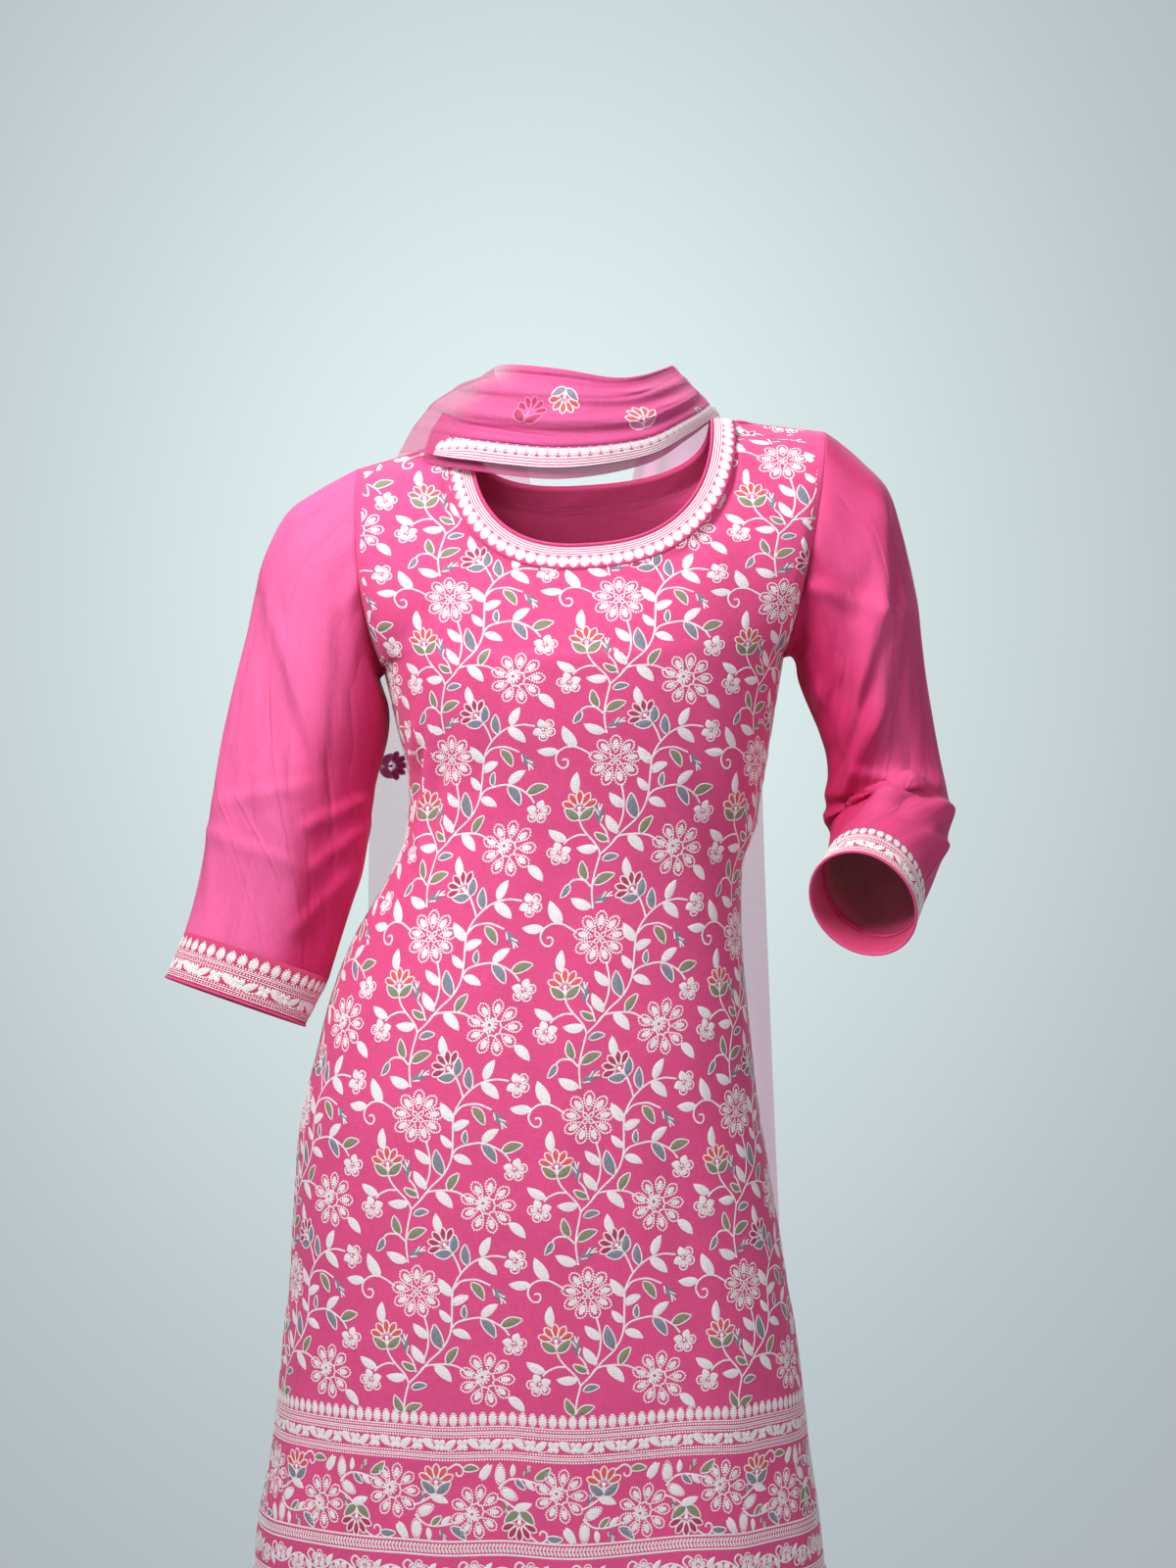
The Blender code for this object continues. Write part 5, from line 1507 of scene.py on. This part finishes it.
cuff_cloth = georgette("cuff_georgette", CUFF_PINK, 0.08, Sheen_Weight=0.08, Sheen_Roughness=0.5)
for side, cuff in cuffs.items():
    band = cloth("cuff_" + side + "_cloth", [cuff], KURTA_WALL, cuff_cloth, SIDES[side], True)
    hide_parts("cuff_" + side)
    ground, length = strip_ground(cuff[::-1, :: -SIDES[side]], True)
    buds = (CUFF_BUD, CUFF_BUD_PITCH, CUFF_BUD_UP)
    stitched = edging(0.0, length, CUFF_CORDS, CUFF_CORD, *buds, CUFF_BEADS, CUFF_BEAD)
    stitched.work(in_a_row([leaf_row], 0.0, length, CUFF_LEAF_PITCH, CUFF_LEAF_UP))
    embroider("cuff_stitches_" + side, stitched, ground)
    piping("cuff_piping_" + side, cuff[-1])


# The dupatta.
# A long scarf of soft sheer net. It lies across the throat in gathers, with its embroidered edge downwards,
# and both ends are thrown back over the shoulders to hang down the back.
SWAG = np.array([  # upper edge, then lower edge, from the left shoulder to the right one
    [-0.078, 0.008, 0.0400, -0.156, 0.008, -0.0235],
    [-0.074, -0.020, 0.0440, -0.137, -0.028, -0.0265],
    [-0.056, -0.046, 0.0420, -0.102, -0.064, -0.0350],
    [-0.022, -0.062, 0.0365, -0.026, -0.088, -0.0440],
    [0.014, -0.060, 0.0305, 0.042, -0.080, -0.0340],
    [0.038, -0.042, 0.0340, 0.079, -0.052, -0.0130],
    [0.066, 0.008, 0.0480, 0.104, 0.008, 0.0085],
])
NECK_AXIS = np.array([-0.015, 0.020, 0.0])
SWAG_BULGE = 0.010
SWAG_PLEAT = 0.0030
BORDER_SHARE = 0.21
PUFF_HEIGHT = 0.013
PUFF_TOWARDS = np.array([-0.62, 0.0, 0.78])
NET_PINK = (0.70, 0.084, 0.280)
# The falls' lighter pink is painted light, making up for the shadow of the body they hang in.
FALL_LIT_PINK = (1.0, 0.14, 0.62)
NET_THINS = (0.030, 0.085, 0.22, 0.62)  # from and to across the swag, how this moves down it, and how much
NET_COVER = 0.88
INNER_COVER = 0.62
NET_CREASES = (9.0, 240.0, 1.0, 3.0)
NET_CREASE_HEIGHT = 0.0016
NET_HOLES = (700.0, 700.0, 5.0, 1.0)
HOLES_SHARE = 0.08
NET_WALL = 0.0006
EDGE_WALL = 0.0008
SWAG_STEPS = (132, 72)
SWAG_FINE_STEPS = 400
SWAG_PLEATS = 3
PLEATS_STOP = 0.08
PUFF_REACH = {"swag": 0.20, "fall": 0.12}
SWAG_RIDGES = [  # place from the upper edge down, its drift along the swag, width and height
    (0.16, 0.18, 0.030, 0.0030),
    (0.30, -0.22, 0.024, -0.0026),
    (0.44, 0.10, 0.030, 0.0024),
    (0.60, -0.16, 0.022, 0.0022),
    (0.70, 0.24, 0.020, -0.0020),
    (0.08, -0.06, 0.018, -0.0022),
]
RIDGE_FADES = (0.6, 0.4, 9, 40)
BORDER_STARTS_X = -0.126
DUPATTA_CORDS = (1.2, 3.2, 5.2, 7.2)
DUPATTA_BUD = (11.4, 7.8)
DUPATTA_BUD_UP = 7.8
DUPATTA_BUD_PITCH = 8.0
SWAG_FANS = [  # x, z, turn in degrees, threads swapped
    (-0.0490, 0.0030, -8, [("coral", "magenta"), ("sage", "magenta"), ("white", "rose")]),
    (-0.0190, 0.0100, 172, [("sage", "slate")]),
    (0.0410, -0.0030, 4, [("sage", "rose")]),
]
SWAG_LEAF_AT = (0.0930, 0.0020)
SWAG_LEAF = (-5.0, 6.0, 3.0, -5.0)
BORDER_TAPERS = (34.0, 0.42, 0.7)  # over this length, from this share of its width, and how early it widens
FALL_SIZE = 1.15
DUPATTA_CORD = 1.2
INNER_ROWS = (44, 50, 56, 62, 68, 72, 76, 79)
INNER_DEPTH = (0.004, 0.0065)
SWAG_FAN_SIZE = 0.95
SWAG_FAN_LIFT = 10.0


def net(name, colour, alpha, thin=None):
    """Soft net: it shows more of what is behind it where it lies in a single layer."""
    finish = georgette(name, colour, 0.10, 0.7, Sheen_Weight=0.08, Sheen_Roughness=0.4)
    across, down, _ = finish.attribute("weave")
    crease, holes = (finish.streaks(across, down, noise) for noise in (NET_CREASES, NET_HOLES))
    cover = (holes - 0.5) * HOLES_SHARE + alpha
    if thin:
        start, end, drift, share = thin
        cover = cover - finish.between(down * drift - across, -end, -start) * share
    finish.surface("Alpha", cover)
    finish.bump(crease, NET_CREASE_HEIGHT, 0.55)
    return finish


def nearest(grid, x, z):
    """The row and column of the grid's point that lies nearest to this x and z."""
    near = np.linalg.norm(grid[:, :, [0, 2]] - [x, z], axis=2)
    return np.unravel_index(near.argmin(), near.shape)


dupatta_net = net("dupatta_net", NET_PINK, NET_COVER, NET_THINS)
inner_net = net("dupatta_inner_net", NET_PINK, INNER_COVER)

along, down = SWAG_STEPS
fine = np.linspace(0, 1, SWAG_FINE_STEPS)
reach = reach_along(through((SWAG[:, 0:3] + SWAG[:, 3:6]) / 2, fine * (len(SWAG) - 1)))
even = np.interp(np.linspace(0, 1, along + 1), reach / reach[-1], fine)
t, w = np.meshgrid(even, np.linspace(0, 1, down + 1), indexing="ij")
edges = through(SWAG, t.ravel() * (len(SWAG) - 1)).reshape(t.shape + (6,))
upper, lower = edges[:, :, 0:3], edges[:, :, 3:6]
away = unit(((upper + lower) / 2 - NECK_AXIS) * [1.0, 1.0, 0.0])
flat = np.clip((1 - BORDER_SHARE - w) / PLEATS_STOP, 0, 1)
pleat = SWAG_PLEAT * np.cos(2 * math.pi * SWAG_PLEATS * w / (1 - BORDER_SHARE)) * flat
steady, fading, waves, apart = RIDGE_FADES
for place, drift, width, height in SWAG_RIDGES:
    ridge = height * np.exp(-(((w - place - drift * (t - 0.5)) / width) ** 2))
    pleat += ridge * flat * (steady + fading * np.cos(waves * t + place * apart))
stand = np.sqrt(np.sin(math.pi * t)) * (SWAG_BULGE * np.sin(math.pi * w) + pleat)
puff = PUFF_HEIGHT * np.sin(math.pi * w) * np.exp(-((t / PUFF_REACH["swag"]) ** 2))
swag = upper + (lower - upper) * w[:, :, None] + away * stand[:, :, None] + puff[:, :, None] * PUFF_TOWARDS
swag = swag.swapaxes(0, 1)
fold_line = int(round((1 - BORDER_SHARE) * down))
dupatta_front = cloth("dupatta_front_net", [swag[: fold_line + 1]], NET_WALL, dupatta_net, -1)
dupatta_edge = cloth("dupatta_edge_net", [swag[fold_line:]], EDGE_WALL, dupatta_net, -1)
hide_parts("dupatta_front")
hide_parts("dupatta_border")
# The scarf is folded double, and its inner layer shows as a darker line just under the border.
inside = through(swag, INNER_ROWS)
inside -= away.swapaxes(0, 1)[: len(inside)] * np.linspace(*INNER_DEPTH, len(inside))[:, None, None]
inner_layer = cloth("dupatta_inner_net", [finer(inside[:, 14:-6], 3, 1)], NET_WALL, inner_net, -1)

edge_ground, length = strip_ground(swag[fold_line:][::-1])
along_edge = np.interp(BORDER_STARTS_X, edge_ground.grid[0, :, 0], edge_ground.across)
buds = (DUPATTA_BUD, DUPATTA_BUD_PITCH, DUPATTA_BUD_UP)
stitched = edging(along_edge, length, DUPATTA_CORDS, DUPATTA_CORD, *buds).done()
taper, least, early = BORDER_TAPERS
tapered = np.clip((stitched.points[:, 0] - along_edge) / taper, 0, 1) ** early
stitched.points[:, 1] *= least + (1 - least) * tapered
embroider("dupatta_border_stitches", stitched, edge_ground)
swag_ground, length = strip_ground(swag[: fold_line + 1][::-1])
fans = Work()
for x, z, turn, swapped in SWAG_FANS:
    row, column = nearest(swag_ground.grid, x, z)
    lift = -SWAG_FAN_LIFT if abs(turn) < 90 else SWAG_FAN_LIFT
    x, y = swag_ground.across[column], swag_ground.up[row] + lift
    fans.work(fan, x, y, turn, SWAG_FAN_SIZE, swapped)
row, column = nearest(swag_ground.grid, *SWAG_LEAF_AT)
x, y = swag_ground.across[column], swag_ground.up[row]
fans.edged_leaf(*np.add([x, y, x, y], SWAG_LEAF), "slate", 0.55)
embroider("dupatta_fans", fans, swag_ground)


# The dupatta's falls.
# Both ends of the scarf hang down the back from the shoulders in long pleats. They are the same net, thin
# enough to show what is behind it, with fans, small flowers and the same edging along the bottom. Their pink
# is lighter than the front's, painted light that makes up for the body's shadow they hang in.
FALLS = {  # inner edge x and z, outer edge x and z, how far back, pleat depth
    "left": np.array([
        [-0.078, 0.0400, -0.156, -0.0235, 0.0083, 0.0015],
        [-0.074, 0.0340, -0.160, -0.0290, 0.030, 0.002],
        [-0.066, 0.0100, -0.166, -0.0440, 0.060, 0.003],
        [-0.052, -0.0350, -0.173, -0.0750, 0.090, 0.005],
        [-0.038, -0.0900, -0.179, -0.1200, 0.105, 0.007],
        [-0.024, -0.2000, -0.184, -0.2150, 0.112, 0.008],
        [-0.014, -0.3500, -0.187, -0.3550, 0.122, 0.009],
        [-0.010, -0.5600, -0.190, -0.5600, 0.140, 0.009],
        [-0.008, -0.7600, -0.196, -0.7600, 0.158, 0.010],
        [-0.006, -0.9650, -0.205, -0.9650, 0.180, 0.011],
    ]),
    "right": np.array([
        [0.066, 0.0480, 0.104, 0.0085, 0.0083, 0.0015],
        [0.056, 0.0400, 0.108, 0.0035, 0.030, 0.002],
        [0.048, 0.0150, 0.118, -0.0120, 0.060, 0.003],
        [0.036, -0.0300, 0.130, -0.0550, 0.090, 0.005],
        [0.024, -0.0900, 0.138, -0.1100, 0.105, 0.007],
        [0.014, -0.2000, 0.142, -0.2050, 0.112, 0.008],
        [0.008, -0.3500, 0.146, -0.3500, 0.122, 0.009],
        [0.006, -0.5600, 0.155, -0.5600, 0.140, 0.009],
        [0.006, -0.7600, 0.165, -0.7600, 0.158, 0.010],
        [0.008, -0.9850, 0.178, -0.9850, 0.182, 0.011],
    ]),
}
FALL_PLEATS = 4
# The falls' lighter pink is painted light, making up for the shadow of the body they hang in.
FALL_LIT_PINK = (1.0, 0.14, 0.62)
FALL_COVER = {"left": 0.20, "right": 0.27}
FALL_STEPS = (100, 80)
FALL_CROWDS = 1.15
FALL_SWAY = 0.30
FALL_LEVEL = 11
FALL_SIZE = 1.15
FALL_FANS = 9
FALL_PLACES = (  # a fan's and a flower's share of the width, and the fan's threads that are swapped
    (0.30, 0.75, []),
    (0.70, 0.25, MAGENTA_FAN),
)
FALL_FAN_TURN = 20
FALL_FLOWER_SIZE = 0.9
FALL_FAN_PITCH = 112
FALL_FAN_UP = 60
FALL_FLOWER_UP = 78
# One fan on the left fall has its threads swapped for dark ones: painted shade, where it hangs in the shadow
# between sleeve and body.
DARK_FLOWER_AT = (-0.1710, -0.2800)
DARK_FLOWER_MOVED = (5.0, -2.0)
DARK_FLOWER_SIZE = 0.92
DARK_FLOWER = [("coral", "dark"), ("sage", "slate"), ("white", "slate")]

for side, out in SIDES.items():
    table, (down, across) = FALLS[side], FALL_STEPS
    t, w = np.meshgrid(np.linspace(0, 1, down + 1), np.linspace(0, 1, across + 1), indexing="ij")
    row = through(table, (t.ravel() ** FALL_CROWDS) * (len(table) - 1)).reshape(t.shape + (6,))
    turns = FALL_PLEATS * w + FALL_SWAY * np.sin(2 * math.pi * w * out)
    x0, z0, x1, z1, back, deep = np.moveaxis(row, 2, 0)
    pleat = deep * (1 - np.cos(2 * math.pi * turns)) * 0.5
    level = np.clip(1 - t * FALL_LEVEL, 0, 1)
    x, z = x0 + (x1 - x0) * w, z0 + (z1 - z0) * w
    grid = np.stack([x, back + pleat * (1 - level), z + pleat * level], axis=2)
    if side == "left":
        puff = PUFF_HEIGHT * np.sin(math.pi * w) * np.exp(-((t / PUFF_REACH["fall"]) ** 2))
        grid += puff[:, :, None] * PUFF_TOWARDS
    fall_net = net("dupatta_" + side + "_net", FALL_LIT_PINK, FALL_COVER[side])
    made = cloth("dupatta_fall_" + side + "_net", [grid], NET_WALL, fall_net, out)
    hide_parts("dupatta_fall_" + side)
    upwards = grid[::-1, ::-out]
    width = length_of(upwards[down // 2]) * 1000
    across = np.linspace(0, width, upwards.shape[1])
    risen = reach_along(upwards[:, upwards.shape[1] // 2]) * 1000
    fans = Work()
    for k in range(FALL_FANS):
        at, beside, swapped = FALL_PLACES[k % 2]
        turn, up = FALL_FAN_TURN * math.sin(5.0 * k), FALL_FAN_PITCH * k
        fans.work(fan, width * at, FALL_FAN_UP + up, turn, FALL_SIZE, swapped)
        fans.work(small_flower, width * beside, FALL_FLOWER_UP + up, 90, FALL_FLOWER_SIZE)
    # The fan worked here in dark threads is painted shade, for the shadow between sleeve and body.
    if side == "left":
        row, column = nearest(upwards, *DARK_FLOWER_AT)
        x, y = across[column] + DARK_FLOWER_MOVED[0], risen[row] + DARK_FLOWER_MOVED[1]
        fans.work(fan, x, y, 90, DARK_FLOWER_SIZE, DARK_FLOWER)
    fans.work(edging(0.0, width, DUPATTA_CORDS, DUPATTA_CORD, *buds))
    embroider("dupatta_fall_" + side + "_stitches", fans, Ground(upwards, across, risen))


# The sharara.
# Flared trousers of the same pink cloth, plain, hanging from an elastic waistband inside the kurta's waist.
# Only their lower part shows under the kurta, where the flare falls in deep soft waves.
LEG_ROWS = np.array([  # height, left, right, front, back, wave depth
    [-0.370, -0.1610, 0.1180, 0.0995, 0.0930, 0.000],
    [-0.390, -0.1715, 0.1170, 0.1010, 0.0970, 0.000],
    [-0.435, -0.1955, 0.1185, 0.1060, 0.1070, 0.000],
    [-0.500, -0.2120, 0.1230, 0.115, 0.117, 0.000],
    [-0.580, -0.2290, 0.1320, 0.124, 0.123, 0.000],
    [-0.690, -0.2310, 0.1480, 0.133, 0.128, 0.000],
    [-0.820, -0.2430, 0.1630, 0.142, 0.138, 0.002],
    [-0.925, -0.2560, 0.1740, 0.149, 0.147, 0.004],
    [-1.050, -0.2850, 0.2050, 0.168, 0.170, 0.010],
    [-1.200, -0.3220, 0.2430, 0.188, 0.192, 0.017],
    [-1.385, -0.3700, 0.2920, 0.210, 0.218, 0.024],
])
CROTCH_START_Z = -0.560
CROTCH_Z = -0.665
INSEAM_APART = 0.012
LEG_WAVES = 6
LEG_POWER = 2.2
LEG_EASE = 0.004
LEG_STEPS = 120
HIP_ROWS = 22
LEG_ROWS_BELOW = 63
INSEAM_OPENS = 0.100
WAVES_DRIFT = 0.6
WAISTBAND_INSIDE = 0.0018
WAISTBAND_ROWS = 8
WAISTBAND_STEPS = 240
RUFFLE = 0.0012
RUFFLES = 40
RUFFLES_DRIFT = (0.5, 9)
WAISTBAND_DRAWN = 4


def leg(out):
    """A leg's points in rows from the waistband down to the hem."""
    angles = 1 - 2 * np.linspace(0, 1, LEG_STEPS + 1)
    below = np.linspace(CROTCH_Z, LEG_ROWS[-1, 0], LEG_ROWS_BELOW + 1)[1:]
    rows = []
    for z in [*np.linspace(BAND_Z, CROTCH_Z, HIP_ROWS), *below]:
        left, right, front, back, deep = (curve(LEG_ROWS, column, z) for column in range(1, 6))
        middle, width = (left + right) / 2, right - left
        closing = np.clip((CROTCH_START_Z - z) / (CROTCH_START_Z - CROTCH_Z), 0, 1)
        apart = INSEAM_APART * np.clip((CROTCH_Z - z) / INSEAM_OPENS, 0, 1)
        inner = closing * width / 4
        half = width / 2 - inner
        angle = math.acos(max(-inner / half, -1.0)) * angles
        c, s = np.cos(angle), np.sin(angle)
        wave = deep * np.cos(LEG_WAVES * angle + out + WAVES_DRIFT * np.sin(2 * angle))
        reach = inner + half * squared(c, LEG_POWER)
        y = -np.where(s > 0, front, back) * squared(s, LEG_POWER) - wave * s
        x = middle + out * (np.maximum(reach + wave * c, 0.0) + apart)
        if z > HEM_Z - LEG_EASE:
            left, right, depths = kurta_at(z)
            centre, room = (left + right) / 2, (right - left) / 2 - LEG_EASE
            share = np.clip((x - centre) / room, -1, 1)
            depth = (np.where(y < 0, depths["front"], depths["back"]) - LEG_EASE) * superellipse(share)
            x, y = centre + share * room, np.clip(y, -depth, depth)
        rows.append(np.stack([x, y, np.full(len(x), z)], axis=1))
    return np.array(rows)


sharara_cloth = georgette("sharara_cloth", GEORGETTE_PINK, 0.08, Sheen_Weight=0.15, Sheen_Roughness=0.5)
for side, out in SIDES.items():
    made = cloth("sharara_leg_" + side + "_cloth", [leg(out)], KURTA_WALL, sharara_cloth, out)
    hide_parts("sharara_leg_" + side)
angle = np.linspace(0, 2 * math.pi, WAISTBAND_STEPS + 1)[:-1]
c, s = np.cos(angle), np.sin(angle)
by, times = RUFFLES_DRIFT
gathers = RUFFLE * np.cos(RUFFLES * angle + by * np.sin(times * angle))
rows = []
for z in np.linspace(BAND_Z, WAIST_Z, WAISTBAND_ROWS + 1):
    left, right, depths = kurta_at(z)
    depth = np.where(s > 0, depths["front"], depths["back"]) - WAISTBAND_INSIDE
    x = (left + right) / 2 - ((right - left) / 2 - WAISTBAND_INSIDE) * squared(c)
    ruffle = gathers * math.sin(math.pi * (z - BAND_Z) / (WAIST_Z - BAND_Z))
    x, y = x * (1 - WAISTBAND_DRAWN * abs(ruffle)), -depth * squared(s) - s * (ruffle - RUFFLE)
    rows.append(np.stack([x, y, 0 * x + z], axis=1))
waistband = cloth("sharara_waistband_cloth", [np.array(rows)], KURTA_WALL, sharara_cloth, 1, True)
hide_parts("sharara_waistband")
